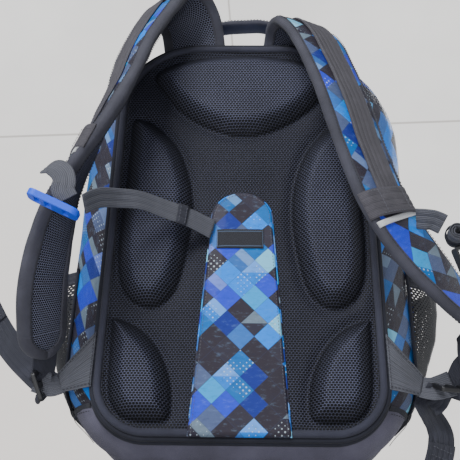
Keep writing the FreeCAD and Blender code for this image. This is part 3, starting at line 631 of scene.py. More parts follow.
def print_fabric(name, seed, gain=1.0):
    """Blue cloth printed with diamonds set on a grid turned by 45 degrees."""
    side = 17.2  # of one diamond, mm
    shift_u, shift_v = 0.0, 0.0  # of the whole print
    dot_pitch = 3.9
    M = Shader(name, rough=0.44, spec=0.26, coat=0.04)
    u, v = M.uv()
    pos = M.position()
    sway = M.mul(M.sub(M.noise(pos, scale=60.0), 0.5), 0.0006)
    u = M.add(M.add(u, sway), shift_u)
    v = M.add(v, shift_v)
    k = 1000.0 / (side * math.sqrt(2))
    a = M.mul(M.add(u, v), k)
    b = M.mul(M.sub(u, v), k)
    cell_a, cell_b = M.math("FLOOR", a), M.math("FLOOR", b)
    in_a, in_b = M.math("FRACT", a), M.math("FRACT", b)
    pick_colour, pick_facet, pick_dots = (
        M.white(M.vec(cell_a, cell_b, seed + extra)) for extra in (0.0, 7.3, 13.7))
    colour = M.stairs(pick_colour, [(at, tint(c, gain)) for at, c in PRINT_COLOURS])
    # facets: a cell split along its diagonal or its middle into a lighter and a darker half
    diagonal = M.step(M.sub(in_a, in_b), lo=-0.02, hi=0.02)
    middle = M.step(in_a, lo=0.47, hi=0.53)
    which = M.math("GREATER_THAN", pick_facet, 0.62)
    half = M.add(M.mul(diagonal, M.sub(1.0, which)), M.mul(middle, which))
    faceted = M.math("GREATER_THAN", M.math("FRACT", M.mul(pick_facet, 7.0)), 0.80)
    amount = M.mul(faceted, 0.30)
    colour = M.mix(M.mul(M.mul(half, amount), 1.0), colour, (0.42, 0.62, 0.80))
    colour = M.mix(M.mul(M.mul(M.sub(1.0, half), amount), 0.6), colour, (0.01, 0.015, 0.05))
    # washes of lighter and darker colour, like brushed ink
    wash = M.noise(M.vec(M.mul(u, 1.0), M.mul(v, 2.2)), scale=120.0, detail=4.0, rough=0.65)
    colour = M.mix(M.mul(M.step(wash, lo=0.52, hi=0.80), 0.22), colour, (0.30, 0.50, 0.78))
    colour = M.mix(M.mul(M.step(wash, lo=0.50, hi=0.22), 0.30), colour, (0.01, 0.02, 0.06))
    # some cells carry rows of pale dots that grow and fade
    off = [M.sub(M.math("FRACT", M.mul(way(u, v), 1000.0 / dot_pitch / math.sqrt(2))), 0.5)
           for way in (M.add, M.sub)]
    distance = M.math("SQRT", M.add(M.mul(off[0], off[0]), M.mul(off[1], off[1])))
    grow = M.noise(M.vec(u, v, 3.0), scale=70.0, detail=1.0)
    radius = M.add(M.mul(M.step(grow, lo=0.30, hi=0.72), 0.24), 0.0)
    dot = M.mul(M.step(M.sub(radius, distance), lo=-0.03, hi=0.05),
                M.math("GREATER_THAN", radius, 0.09))
    dotted = M.math("GREATER_THAN", pick_dots, 0.80)
    colour = M.mix(M.mul(M.mul(dot, dotted), 0.60), colour, (0.62, 0.74, 0.82))
    # thin darker line where cells meet
    edges = [M.math("MINIMUM", f, M.sub(1.0, f)) for f in (in_a, in_b)]
    line = M.step(M.math("MINIMUM", *edges), lo=0.022, hi=0.006)
    colour = M.mix(M.mul(line, 0.35), colour, (0.03, 0.05, 0.12))
    # fine weave, broad folds and scuffs
    weave = M.mul(M.sine(u, pitch=0.55), M.sine(v, pitch=0.55))
    crease = M.noise(pos, scale=38.0, detail=4.0, rough=0.6)
    normal = M.bump(M.add(M.mul(weave, 0.12), M.mul(crease, 1.6)), depth=0.0012, strength=0.55)
    scuff = M.noise(pos, scale=160.0, detail=5.0, rough=0.7)
    colour = M.mix(M.mul(M.step(scuff, lo=0.62, hi=0.82), 0.10), colour, (0.4, 0.45, 0.52))
    return M.finish(colour, normal, rough=M.add(0.34, M.mul(scuff, 0.22)))


def webbing(name, rgb, pitch, rough=0.62, bright=1.0):
    """Webbing with a rib every pitch mm, twill lines across them and fuzz."""
    M = Shader(name, rough=rough, spec=0.26, sheen=0.03)
    u, v = M.uv()
    pos = M.position()
    across = M.mul(u, 1000.0 / pitch)
    rib = M.math("ABSOLUTE", M.math("SINE", M.mul(across, math.pi)))
    odd = M.math("FLOORED_MODULO", M.math("FLOOR", across), 2.0)
    twill = M.math("SINE", M.add(M.mul(v, 2 * math.pi / 0.0011), M.mul(odd, math.pi)))
    height = M.add(M.mul(rib, 0.75), M.mul(twill, 0.22))
    fuzz = M.noise(pos, scale=1400.0)
    tone = M.noise(pos, scale=55.0, detail=4.0, rough=0.6)
    base = lin(*rgb)
    colour = M.mix(M.fit(height, gain=0.62, plus=0.28), tint(base, 0.16),
                   tint(base, 1.55 * bright))
    colour = M.mix(M.mul(M.step(tone, lo=0.45, hi=0.8), 0.30), colour, tint(base, 2.6))
    colour = M.mix(M.mul(fuzz, 0.18), colour, tint(base, 2.2))
    normal = M.bump(M.add(height, M.mul(fuzz, 0.2)), depth=0.0005, strength=0.8)
    return M.finish(colour, normal, rough=M.add(rough - 0.08, M.mul(fuzz, 0.2)))


def cloth(name, rgb, pitch, rough=0.7, woven=True, depth=0.00025):
    """Plain cloth and tape: a weave, or a rib when not woven, colour drift and pilling."""
    M = Shader(name, rough=rough, spec=0.22, sheen=0.06)
    u, v = M.uv()
    pos = M.position()
    weave = M.sine(v, pitch)
    if woven:
        weave = M.mul(M.sine(u, pitch), weave)
    tone = M.noise(pos, scale=24.0, detail=4.0, rough=0.62)
    fuzz = M.noise(pos, scale=1100.0, detail=3.0)
    base = lin(*rgb)
    colour = M.mix(M.step(tone, lo=0.30, hi=0.72), tint(base, 0.70), tint(base, 1.25))
    colour = M.mix(M.fit(weave, gain=0.13, plus=0.16), colour, tint(base, 2.0))
    colour = M.mix(M.mul(M.step(fuzz, lo=0.55, hi=0.8), 0.25), colour, tint(base, 2.4))
    crease = M.noise(pos, scale=60.0, detail=3.0, rough=0.6)
    height = M.add(M.mul(weave, 0.5), M.add(M.mul(fuzz, 0.35), M.mul(crease, 3.0)))
    return M.finish(colour, M.bump(height, depth, strength=0.75),
                    rough=M.add(rough - 0.1, M.mul(fuzz, 0.22)))


def plastic(name, rgb, rough=0.36):
    """Moulded plastic, paler on its worn edges."""
    M = Shader(name, rough=rough, spec=0.5)
    pos = M.position()
    grain = M.noise(pos, scale=420.0, detail=3.0, rough=0.6)
    tone = M.noise(pos, scale=60.0, detail=3.0, rough=0.6)
    base = lin(*rgb)
    edge = M.step(M.geometry("Pointiness"), lo=0.50, hi=0.60)
    colour = M.mix(M.mul(tone, 0.35), base, tint(base, 0.72))
    colour = M.mix(M.mul(edge, 0.25), colour, tint(base, 1.7, plus=0.03))
    colour = M.mix(M.mul(M.step(grain, lo=0.62, hi=0.75), 0.10), colour,
                   tint(base, 1.5, plus=0.02))
    normal = M.bump(M.add(grain, M.mul(tone, 0.5)), depth=0.00012, strength=0.5)
    return M.finish(colour, normal, rough=M.add(rough - 0.08, M.mul(grain, 0.26)))


def enamel(name):
    """Dark enamelled metal, rubbed bright on its edges."""
    M = Shader(name, rough=0.38, spec=0.5, metallic=0.75)
    grain = M.noise(M.position(), scale=500.0, detail=4.0, rough=0.7)
    edge = M.step(M.geometry("Pointiness"), lo=0.51, hi=0.60)
    base = lin(52, 52, 56)
    colour = M.mix(M.mul(edge, 0.5), base, (0.42, 0.42, 0.44))
    colour = M.mix(M.mul(grain, 0.3), colour, tint(base, 0.6))
    return M.finish(colour, M.bump(grain, depth=0.0001, strength=0.4),
                    rough=M.add(0.26, M.mul(grain, 0.28)))


def reflective(name):
    """Pale reflective tape with a fine grid and scratches."""
    M = Shader(name, rough=0.42, spec=0.6, metallic=0.15)
    u, v = M.uv()
    pos = M.position()
    cells = M.mul(M.sine(u, pitch=0.9), M.sine(v, pitch=0.9))
    scratch = M.noise(pos, scale=130.0, detail=4.0, rough=0.6)
    colour = M.mix(M.step(cells, lo=-0.2, hi=0.6), lin(188, 189, 192), lin(232, 233, 236))
    colour = M.mix(M.mul(M.step(scratch, lo=0.56, hi=0.78), 0.4), colour, lin(150, 152, 158))
    normal = M.bump(M.add(cells, M.mul(scratch, 1.5)), depth=0.00025, strength=0.5)
    return M.finish(colour, normal, rough=M.add(0.30, M.mul(scratch, 0.3)))


def net(name):
    """See-through net."""
    M = Shader(name, rough=0.6, spec=0.35, sheen=0.1)
    u, v = M.uv()
    yarn = M.step(M.hole_distance(u, v, pitch=(3.0, 2.4), radius=(0.29, 0.28)),
                  lo=0.88, hi=1.06)
    fuzz = M.noise(M.position(), scale=1500.0)
    colour = M.mix(M.mul(fuzz, 0.55), lin(14, 14, 18), lin(50, 52, 60))
    normal = M.bump(M.add(yarn, M.mul(fuzz, 0.2)), depth=0.0006, strength=0.8)
    return M.finish(colour, normal, alpha=M.fit(yarn, gain=0.94, plus=0.06, clamp=False))


def woven_blank(name):
    """Woven label without lettering, with a pale border line near its edge."""
    M = Shader(name, rough=0.7, spec=0.3, sheen=0.2)
    u, v = M.uv()
    pos = M.position()
    weave = M.mul(M.sine(u, pitch=0.6), M.sine(v, pitch=0.45))
    off_u, off_v = M.math("ABSOLUTE", u), M.math("ABSOLUTE", v)

    def strip(off, start, end):
        """1 between start and end from the centre, with 0.3 mm of fade."""
        return M.mul(M.step(off, lo=start, hi=start + 0.0003),
                     M.step(off, lo=end, hi=end - 0.0003))
    across, along = strip(off_u, 0.0203, 0.0214), strip(off_v, 0.0068, 0.0079)
    inside_u = M.step(off_u, lo=0.0214, hi=0.0211)
    inside_v = M.step(off_v, lo=0.0079, hi=0.0076)
    line = M.math("MAXIMUM", M.mul(across, inside_v), M.mul(along, inside_u))
    colour = M.mix(M.step(weave, lo=-0.5, hi=0.9), lin(24, 25, 31), lin(48, 50, 60))
    colour = M.mix(M.mul(line, 0.55), colour, lin(96, 118, 150))
    height = M.add(weave, M.mul(M.noise(pos, scale=700.0), 0.5))
    return M.finish(colour, M.bump(height, depth=0.0002, strength=0.6))


# the back panel's mesh gets painted shade in its grooves and on its steep flanks
AIR = spacer_mesh("air_mesh", thread=(88, 91, 113), pitch=(3.0, 2.15), painted_pad_shade=True)
AIR_STRAP = spacer_mesh("air_mesh_strap", thread=(116, 119, 140), pitch=(2.7, 1.95))
PRINT = print_fabric("print_gusset", seed=1.0)
PRINT_TONGUE = print_fabric("print_tongue", seed=5.0, gain=1.08)
PRINT_STRAP = print_fabric("print_strap", seed=9.0)
PRINT_FRONT = print_fabric("print_front", seed=3.0)
WEB = webbing("webbing_grey", (70, 71, 78), pitch=1.55, bright=1.25)
WEB_DARK = webbing("webbing_dark", (44, 45, 54), pitch=1.3, rough=0.55)
BAND = webbing("strap_band_webbing", (68, 66, 72), pitch=1.35)
BIND = cloth("edge_tape", (57, 57, 66), pitch=0.9, woven=False)
BIND_DARK = cloth("edge_tape_dark", (32, 33, 42), pitch=0.9, woven=False)
PIPE = cloth("piping_cloth", (47, 48, 60), pitch=0.8)
BASE = cloth("base_cloth", (86, 84, 100), pitch=0.9, rough=0.6, depth=0.0004)
PLAIN = cloth("plain_cloth", (44, 46, 58), pitch=0.9, rough=0.6, depth=0.0004)
LINING = cloth("lining", (92, 96, 106), pitch=0.7, rough=0.65)
THREAD = cloth("thread", (84, 84, 92), pitch=0.5)
THREAD_DARK = cloth("thread_dark", (42, 42, 48), pitch=0.5)
ZIP_TAPE = cloth("zip_tape", (36, 36, 42), pitch=0.7, woven=False)
BLACK = plastic("black_moulding", (26, 26, 29))
BLUE = plastic("blue_moulding", (30, 84, 232), rough=0.42)
TEETH = plastic("zip_teeth", (34, 34, 38), rough=0.3)
BOARD = plastic("board_sheet", (120, 120, 124), rough=0.55)
METAL = enamel("black_enamel")
REFLECTIVE = reflective("reflective_tape")
NET = net("side_net")
LABEL = woven_blank("label_weave")


# ------------------------------------------------------------------ the bag's own outline
# depth y, then the outline there: half-width low and high, z low and high, corner radius
# low and high
SECTIONS = np.array([
    (-90, 128, 117, 19.5, 419, 46, 76), (-76, 147, 132, 8, 426, 66, 84),
    (-58, 160, 145, 0, 430, 90, 90), (-30, 170, 153, 0, 432, 112, 95),
    (38, 172, 154, 0, 431, 124, 95), (66, 164, 147, 8, 421, 120, 92),
    (86, 150, 134, 20, 402, 104, 88), (99, 134, 114, 33, 380, 84, 80)], float)
REAR_Y, FRONT_Y = -92.5, 99
BASE_SEAM_Z = 50.0
RING = 420  # points round a lofted outline


def section(y):
    """Outline values at depth y, by monotone cubic interpolation of the table."""
    x, values = SECTIONS[:, 0], SECTIONS[:, 1:]
    q = np.clip(y, x[0], x[-1])
    h = np.diff(x)
    d = np.diff(values, axis=0) / h[:, None]
    m = np.zeros_like(values)
    for k in range(1, len(x) - 1):
        same = d[k - 1] * d[k] > 0
        w1, w2 = 2 * h[k] + h[k - 1], h[k] + 2 * h[k - 1]
        with np.errstate(divide="ignore", invalid="ignore"):
            m[k] = np.where(same, (w1 + w2) / (w1 / d[k - 1] + w2 / d[k]), 0)
    m[0], m[-1] = d[0], d[-1]
    i = int(np.clip(np.searchsorted(x, q) - 1, 0, len(x) - 2))
    t = (q - x[i]) / h[i]
    t2, t3 = t * t, t * t * t
    return ((2 * t3 - 3 * t2 + 1) * values[i] + (t3 - 2 * t2 + t) * h[i] * m[i]
            + (-2 * t3 + 3 * t2) * values[i + 1] + (t3 - t2) * h[i] * m[i + 1])


def corner_arc(corner, a, b, r, n=26):
    """Rounding of radius r at corner, from the side towards a to the side towards b."""
    corner, a, b = (np.array(p, float) for p in (corner, a, b))
    u, w = unit(a - corner), unit(b - corner)
    half = math.acos(np.clip(u @ w, -1, 1)) / 2
    c = corner + unit(u + w) * (r / math.sin(half))
    p, q = corner + u * (r / math.tan(half)), corner + w * (r / math.tan(half))
    start = math.atan2(*(p - c)[::-1])
    end = math.atan2(*(q - c)[::-1])
    t = np.linspace(start, start + (end - start + math.pi) % (2 * math.pi) - math.pi, n)
    return np.stack([c[0] + r * np.cos(t), c[1] + r * np.sin(t)], 1)


def half_outline(par, out=0.0):
    """(x, z) points from the middle of the foot over the right side to the top middle."""
    low, top, z0, z1, r_low, r_top = par
    low, top, z0, z1 = low + out, top + out, z0 - out, z1 + out
    foot = corner_arc((low, z0), (-low, z0), (top, z1), max(r_low + out, 3))
    shoulder = corner_arc((top, z1), (low, z0), (-top, z1), max(r_top + out, 3))
    return np.vstack([[(0.0, z0)], foot, shoulder, [(0.0, z1)]])


def outline(par, y, count, out=0.0):
    """Closed outline of count points at depth y, grown by out."""
    half = half_outline(par, out)
    s = arclen(half)
    h = interp_rows(np.linspace(0, s[-1], count // 2 + 1), s, half)
    full = np.vstack([h, h[-2:0:-1] * (-1, 1)])
    return np.stack([full[:, 0], np.full(len(full), float(y)), full[:, 1]], 1)


def open_outline(y, out, zmin=-math.inf, count=700):
    """The carcass outline above zmin, right foot over the top to left foot, with normals."""
    p = outline(section(y), y, count, out)
    p = p[p[:, 2] > zmin]
    n = np.cross(unit(np.gradient(p, axis=0)), TO_FRONT)
    return p, unit(away(n, p, (0, y, 215.0)))


def ring_normals(P, centre):
    """Normals of a grid that is closed across its columns, looking away from centre."""
    along = np.gradient(P, axis=0)
    around = np.roll(P, -1, 1) - np.roll(P, 1, 1)
    return away(unit(np.cross(along, around)), P, centre)


def shrunk(ring, middle_z, f):
    """An outline scaled by f about its middle."""
    p = ring.copy()
    p[:, 0] *= f
    p[:, 2] = middle_z + (p[:, 2] - middle_z) * f
    return p


def folds(P, amp, seed):
    """Soft cloth relief: broad sag, crossing folds and small puckers."""
    x, y, z = P[..., 0], P[..., 1], P[..., 2]
    sag = fbm(P * np.array([1.0, 1.0, 0.62]), 70, seed)
    R = np.stack([x + z * 0.5, y * 1.6, z * 0.5 - x * 0.3], -1)
    crossing = 1 - np.abs(vnoise(R, 46, seed + 5)) * 2
    pucker = vnoise(P, 15, seed + 9)
    return amp * (0.95 * sag + 0.40 * crossing + 0.16 * pucker)


def shell_piece(ys, material, cuts, amp, seed, keep, straight=False, name="part"):
    """Carcass cloth lofted over the depths ys, then trimmed by the planes in cuts.

    Folds die out at the depths in keep and at the base seam. A straight pattern takes all
    its across lengths from the middle row, so that it doesn't shear round the corners.
    """
    ys = np.asarray(ys, float)
    P = np.array([outline(section(y), y, RING) for y in ys])
    lengths = np.array([2 * arclen(half_outline(section(y)))[-1] for y in ys])
    N = ring_normals(P, (0, 0, 210.0))
    calm = smooth01(np.abs(P[..., 2] - BASE_SEAM_Z) / 22)
    for depth in keep:
        calm = calm * smooth01(np.abs(P[..., 1] - depth) / 14)
    P = P + N * (folds(P, amp, seed) * calm)[..., None]
    u = (np.linspace(0, 1, RING + 1)[None] - 0.5) * lengths[:, None]
    if straight:
        u = np.repeat(u[len(ys) // 2][None], len(ys), 0)
    step = np.linalg.norm(np.diff(P, axis=0), axis=2)
    v = close_cols(np.concatenate([np.zeros((1, RING)), np.cumsum(step, 0)]))
    mid = int(np.argmin(np.abs(ys)))
    v = v - v[mid][None] + ys[mid]
    o = grid(P, np.stack([u, v], -1), material, close_cols=True, name=name)
    for point, normal in cuts:
        cut(o, point, normal)
    return o


def front_cap(material, bulge, amp):
    """The slightly domed face that closes the carcass towards +Y."""
    rows = 34
    par = section(FRONT_Y)
    ring = outline(par, FRONT_Y, RING)
    inward = np.linspace(0, 1, rows)
    P = []
    for k in inward:
        f = 1 - k * 0.996
        p = shrunk(ring, (par[2] + par[3]) / 2, f)
        p[:, 1] = FRONT_Y + bulge * (1 - f ** 2)
        P.append(p)
    P = np.array(P)
    P[..., 1] += folds(P, amp, 21) * smooth01(inward[:, None] / 0.12)
    return grid(P, close_cols(P[..., [0, 2]]), material, close_cols=True)


# ---- rear carcass: gussets and the strip over the top
TOP_STRIP_X = 66.2
ys_rear = np.concatenate([np.linspace(REAR_Y, -60, 12), np.linspace(-56, 17.6, 22)])
above_base = ((0, 0, 50.4), (0, 0, -1))
for name, node, cuts, amp in (
        ("gusset_right", "side_gusset_right",
         [above_base, ((TOP_STRIP_X, 0, 0), (-1, 0, 0))], 1.7),
        ("gusset_left", "side_gusset_left",
         [above_base, ((-TOP_STRIP_X, 0, 0), (1, 0, 0))], 1.7),
        ("gusset_top", "top_gusset",
         [((0, 0, 200), (0, 0, -1)), ((TOP_STRIP_X, 0, 0), (1, 0, 0)),
          ((-TOP_STRIP_X, 0, 0), (-1, 0, 0))], 1.5)):
    gusset = shell_piece(ys_rear, PRINT, cuts, amp, 3, (-92, 20), name=name)
    face_out(gusset)
    solid(gusset, 1.8, lining=LINING)
    place(gusset, "bag", "print_fabric", node)


def sewn_shell(name, wall, cap, cap_cut):
    """Joins a lofted wall to its front cap along their shared edge."""
    cut(cap, *cap_cut)
    face_out(wall)
    face_out(cap)
    o = join(name, [wall, cap])
    weld(o, 0.2)
    return o


# ---- base tub
ys_all = np.concatenate([np.linspace(REAR_Y, -60, 12), np.linspace(-56, 60, 30),
                         np.linspace(64, FRONT_Y, 14)])
below_seam = ((0, 0, BASE_SEAM_Z), (0, 0, 1))
wall = shell_piece(ys_all, BASE, [below_seam], 1.0, 8, (FRONT_Y,))
tub = sewn_shell("base_tub", wall, front_cap(BASE, bulge=3.0, amp=1.2), below_seam)
with edited(tub) as bm:
    for vert in bm.verts:
        vert.co.z = max(vert.co.z, 0.0)  # nothing sinks into the floor
solid(tub, 2.2, lining=LINING)
place(tub, "bag", "plain_fabric", "base_shell")

# ---- cover: sides, top and front face
ys_cover = np.concatenate([np.linspace(34.0, 64, 9), np.linspace(67, FRONT_Y, 14)])
above_seam = ((0, 0, 51.0), (0, 0, -1))
wall = shell_piece(ys_cover, PRINT, [above_seam], 1.7, 3, (34, FRONT_Y), straight=True)
cover = sewn_shell("cover_cloth", wall, front_cap(PRINT_FRONT, bulge=3.2, amp=1.3), above_seam)
solid(cover, 1.8, lining=LINING)
place(cover, "cover", "print_fabric", "cover_shell")

# ---- cords round the carcass: the cover's front edge, its lower run and the rear edge
open_path, _ = open_outline(97.0, 1.3, 51.5, count=520)
place(tube(open_path, 1.9, PIPE, name="front_edge_cord"), "cover", "edge_binding")
o = tube(outline(section(97.0), 97.0, 520, 1.3), 1.9, PIPE, closed=True,
         name="front_edge_cord_base")
cut(o, *below_seam)
place(o, "bag", "edge_binding")
o = tube(outline(section(-89.0), -89.0, 520, 1.4), 2.3, BIND_DARK, closed=True,
         name="rear_edge_cord")
place(o, "bag", "edge_binding")


def base_seam():
    """Folded edge between the gussets and the tub, with a row of stitches on each side."""
    parts = []
    for side in (1, -1):
        points, normals = [], []
        for y in np.linspace(-86, 33, 29):
            p, n = open_outline(y, 0.5, count=900)
            mine = p[:, 0] * side > 0
            j = np.argmin(np.abs(p[mine][:, 2] - BASE_SEAM_Z))
            points.append(p[mine][j])
            normals.append(n[mine][j])
        points, normals = smooth_path(points), np.array(normals)
        parts.append(ribbon(points, normals, 5.0, 1.3, BIND_DARK))
        for dz in (-4.6, 4.4):
            parts.append(stitches(points + [0, 0, dz] + normals * 0.6, normals, THREAD_DARK))
    return join("base_seam", parts)


place(base_seam(), "bag", "edge_binding")


# ------------------------------------------------------------------ main zip
ZIP_Y = 26.0


def tape_strip(y_start, y_end, out, zmin, name="part"):
    """Zip tape laid over the carcass between two depths."""
    ys = np.linspace(y_start, y_end, 9)
    P = np.array([resample(open_outline(y, out, zmin, count=900)[0], n=560) for y in ys])
    o = grid(P, pair(ys[:, None], arclen(P[0])[None]), ZIP_TAPE, name=name)
    face_out(o)
    return o


def coil(P, N, across, half_width):
    """Zip teeth: alternating rounded loops standing across a path."""
    pitch, r = 2.2, 0.6
    s = arclen(P)
    at = np.arange(pitch, s[-1] - pitch, pitch / 2)
    C, N = interp_rows(at, s, P), unit(interp_rows(at, s, N))
    X = np.broadcast_to(across, C.shape)
    side = np.where(np.arange(len(at)) % 2 == 0, 1.0, -1.0)[:, None]
    D = unit(np.cross(N, X))
    # each loop's centre line: share of the half-width, lift in units of 0.9 mm
    loop = [C + X * side * share * half_width + N * lift * 0.9
            for share, lift in ((-0.35, 0.35), (0.15, 1.0), (0.75, 0.9), (1.0, 0.15))]
    a = np.linspace(0, 2 * math.pi, BEAD_RING, endpoint=False)[None, :, None]
    G = []
    for k, p in enumerate(loop):
        B = unit(np.cross(unit(loop[min(k + 1, 3)] - loop[max(k - 1, 0)]), D))
        G.append(p[:, None] + r * (D[:, None] * np.cos(a) + B[:, None] * np.sin(a)))
    return recalc_normals(beads(np.stack(G, 1), TEETH, first_corner=1))


for name, body, node, y_start, y_end, zmin in (
        ("zip_tape_back", "bag", "zip_tape_rear", 16.6, 24.7, 51.0),
        ("zip_tape_cover", "cover", "zip_tape_front", 27.3, 35.4, 52.0)):
    tape = tape_strip(y_start, y_end, 0.9, zmin, name)
    solid(tape, 1.0, offset=0)
    place(tape, body, "edge_binding", node)
for name, body, y in (("zip_stitch_back", "bag", 19.2), ("zip_stitch_cover", "cover", 32.8)):
    p, n = open_outline(y, 1.5, 53.0)
    place(stitches(p, n, THREAD_DARK, pitch=3.6, name=name), body, "edge_binding")
p, n = open_outline(ZIP_Y, 0.6, 52.0, count=900)
teeth = coil(p, n, TO_FRONT, half_width=2.4)
# the strip the teeth sit on keeps light from showing through the gap
teeth = join("zip_teeth", [teeth, tape_strip(24.2, 27.8, 0.1, 52.0)])
place(teeth, "bag", "black_plastic", "zip_coil")


# ------------------------------------------------------------------ moulded back panel
# outline values in the order of SECTIONS, without the depth
PANEL = (126.0, 116.0, 24.0, 416.0, 44.0, 75.0)
PANEL_Y = -95.6
# outlines of the raised pads, x and z
PAD_TOP = [(0, 314), (20, 317), (45, 329), (65, 345), (80, 363), (88, 380), (78, 393),
           (54, 402), (25, 407), (0, 408), (-25, 407), (-54, 402), (-78, 393), (-88, 380),
           (-80, 363), (-65, 345), (-45, 329), (-20, 317)]
PAD_MID = [(105, 333), (90, 330), (76, 318), (61, 298), (50, 267), (46, 236), (48, 206),
           (53, 177), (60, 154), (72, 140), (86, 137), (100, 144), (109, 158), (113, 180),
           (113.5, 206), (112, 236), (110, 266), (108.5, 300), (108.5, 322)]
PAD_LOW = [(114, 127), (96, 121), (81, 109), (69, 92), (61, 70), (59, 50), (62, 36), (78, 33),
           (100, 36), (111, 48), (115, 66), (115.4, 100), (115.2, 119)]
# outline, rise and the distance from the edge over which the pad rounds off
PADS = [(closed_curve(PAD_TOP), 13.5, 34.0),
        (closed_curve(PAD_MID), 13.5, 29.0), (closed_curve(PAD_MID, mirror=-1), 13.5, 29.0),
        (closed_curve(PAD_LOW), 14.0, 27.0), (closed_curve(PAD_LOW, mirror=-1), 14.0, 27.0)]


def signed_distance(Q, curve):
    """Distance from the (x, z) points Q to a closed curve, positive inside."""
    nearest = np.full(len(Q), 1e9)
    inside = np.zeros(len(Q), bool)
    for a, b in zip(curve, np.roll(curve, -1, 0)):
        ab = b - a
        t = np.clip(((Q - a) @ ab) / (ab @ ab), 0, 1)
        nearest = np.minimum(nearest, np.linalg.norm(Q - (a + t[:, None] * ab), axis=1))
        crosses = (a[1] > Q[:, 1]) != (b[1] > Q[:, 1])
        with np.errstate(divide="ignore", invalid="ignore"):
            x = (b[0] - a[0]) * (Q[:, 1] - a[1]) / (b[1] - a[1]) + a[0]
        inside ^= crosses & (Q[:, 0] < x)
    return np.where(inside, nearest, -nearest)


def panel_rise(X, Z):
    """How far the panel stands out towards -Y, and the distance inside its edge."""
    Q = np.stack([X.ravel(), Z.ravel()], 1)
    x, z = Q.T
    inside = signed_distance(Q, outline(PANEL, 0, 400)[:, [0, 2]])
    land = 0.9 * smooth01((inside - 1) / 12)
    # the land itself swells gently between the pads
    land += (1.6 * np.exp(-(x / 70) ** 2) * smooth01((z - 250) / 30)
             * smooth01((330 - z) / 30))
    groove, dome = np.zeros(len(Q)), np.zeros(len(Q))
    for curve, rise, reach in PADS:
        d = signed_distance(Q, curve)
        t = np.clip(d / reach, 0, 1)
        f = 0.30 * np.sqrt(np.clip(1 - (1 - t) ** 2, 0, 1)) + 0.70 * smooth01(d / 17.0)
        dome = np.maximum(dome, rise * f)
        groove = np.minimum(groove, -2.4 * np.where(d <= 0, np.exp(-(d / 6.0) ** 2),
                                                    np.exp(-d / 2.0)))
    height = land + dome + groove * smooth01(inside / 8)
    P = np.stack([x, np.zeros(len(Q)), z], -1)
    soft = fbm(P, 55, 31) * 0.8 + vnoise(P, 12, 44) * 0.12
    height = height + soft * smooth01(inside / 15)
    return height.reshape(X.shape), inside.reshape(X.shape)


def back_panel():
    """One moulded sheet of spacer mesh, trimmed just outside the panel's outline."""
    step = 1.5
    X, Z = np.meshgrid(np.arange(-128, 128 + step / 2, step),
                       np.arange(22, 418 + step / 2, step), indexing="ij")
    height, inside = panel_rise(X, Z)
    P = np.stack([X, PANEL_Y - height, Z], -1)
    V, F, loop_uv = grid_arrays(P, P[..., [0, 2]])
    kept = (inside > -1.2).ravel()[F].all(1)
    used, index = np.unique(F[kept], return_inverse=True)
    loop_uv = loop_uv.reshape(-1, 4, 2)[kept].reshape(-1, 2)
    o = make("back_panel_mesh", V[used], index.reshape(-1, 4), AIR, loop_uv)
    face_towards(o, TO_BACK)
    solid(o, 3.0, lining=LINING)
    place(o, "bag", "air_mesh", "back_panel", "pad_top", "pad_mid_left", "pad_mid_right",
          "pad_low_left", "pad_low_right")


def panel_piping():
    """The fat cord round the panel, the thinner cord outside it and the stitches inside."""
    p = outline(PANEL, -95.0, 620, -0.5)
    p[:, 1] += fbm(p, 60, 5) * 0.5
    parts = [tube(p, 3.5, PIPE, closed=True, seg=14),
             tube(outline(PANEL, -92.2, 620, 4.2), 2.7, BIND_DARK, closed=True, seg=12),
             stitches(outline(PANEL, -98.0, 620, -5.2), TO_BACK, THREAD_DARK, pitch=3.2,
                      closed=True, offset=-0.6)]
    place(join("panel_piping_cords", parts), "bag", "edge_binding", "panel_piping")


back_panel()
panel_piping()

# ------------------------------------------------------------------ printed tongue
# it runs up the middle of the panel, narrowing from its foot to a round arch
TONGUE_FOOT = 44.0  # half-width
TONGUE_R = 28.5
ARCH_Z = 223.5
TONGUE_COLS = 41


def tongue_half(z):
    """Half-width of the tongue at height z."""
    z = np.asarray(z, float)
    flank = TONGUE_FOOT + (TONGUE_R - TONGUE_FOOT) * np.clip((z - 21.0) / (220.0 - 21.0), 0, 1)
    arch = np.sqrt(np.clip(TONGUE_R ** 2 - np.clip(z - ARCH_Z, 0, None) ** 2, 0, None))
    return np.where(z > ARCH_Z, arch, flank)


arch_turn = np.linspace(0.02, math.pi / 2 - 0.012, 24)
tongue_z = np.concatenate([np.linspace(20.5, 222, 96), ARCH_Z + TONGUE_R * np.sin(arch_turn)])
tongue_hw = tongue_half(tongue_z)


def tongue_depths(X, Z, share):
    """Depth of the tongue's face; share is the place across, -1..1."""
    inset = tongue_hw[:, None] * (1 - np.abs(share))[None]
    inset = np.minimum(inset, np.clip(ARCH_Z + TONGUE_R - Z, 0, None))
    rise = np.maximum(panel_rise(X, Z)[0], 0.2) * 0.35 + 0.7
    lift = 2.4 + 1.3 * smooth01(inset / 16) - 1.6 * (1 - smooth01(inset / 1.4))
    wrinkle = fbm(np.stack([X, 0 * X, Z], -1), 42, 61)
    Y = PANEL_Y - rise - lift - wrinkle * 0.7
    # the foot drapes over the cord at the panel's lower edge and is caught in its seam
    over = smooth01((40.0 - Z) / 12.0)
    cord_face = -95.0 - 3.7 - 1.4
    Y = Y * (1 - over) + np.minimum(Y, cord_face) * over
    return Y + smooth01((24.5 - Z) / 4.0) * 3.2


share = np.linspace(-1, 1, TONGUE_COLS)
X = tongue_hw[:, None] * share[None]
Z = np.repeat(tongue_z[:, None], TONGUE_COLS, 1)
tongue_grid_y = tongue_depths(X, Z, share)
o = grid(np.stack([X, tongue_grid_y, Z], -1), np.stack([X, Z], -1), PRINT_TONGUE,
         name="tongue_print")
face_towards(o, TO_BACK)
solid(o, 1.6)
place(o, "bag", "print_fabric", "back_tongue")


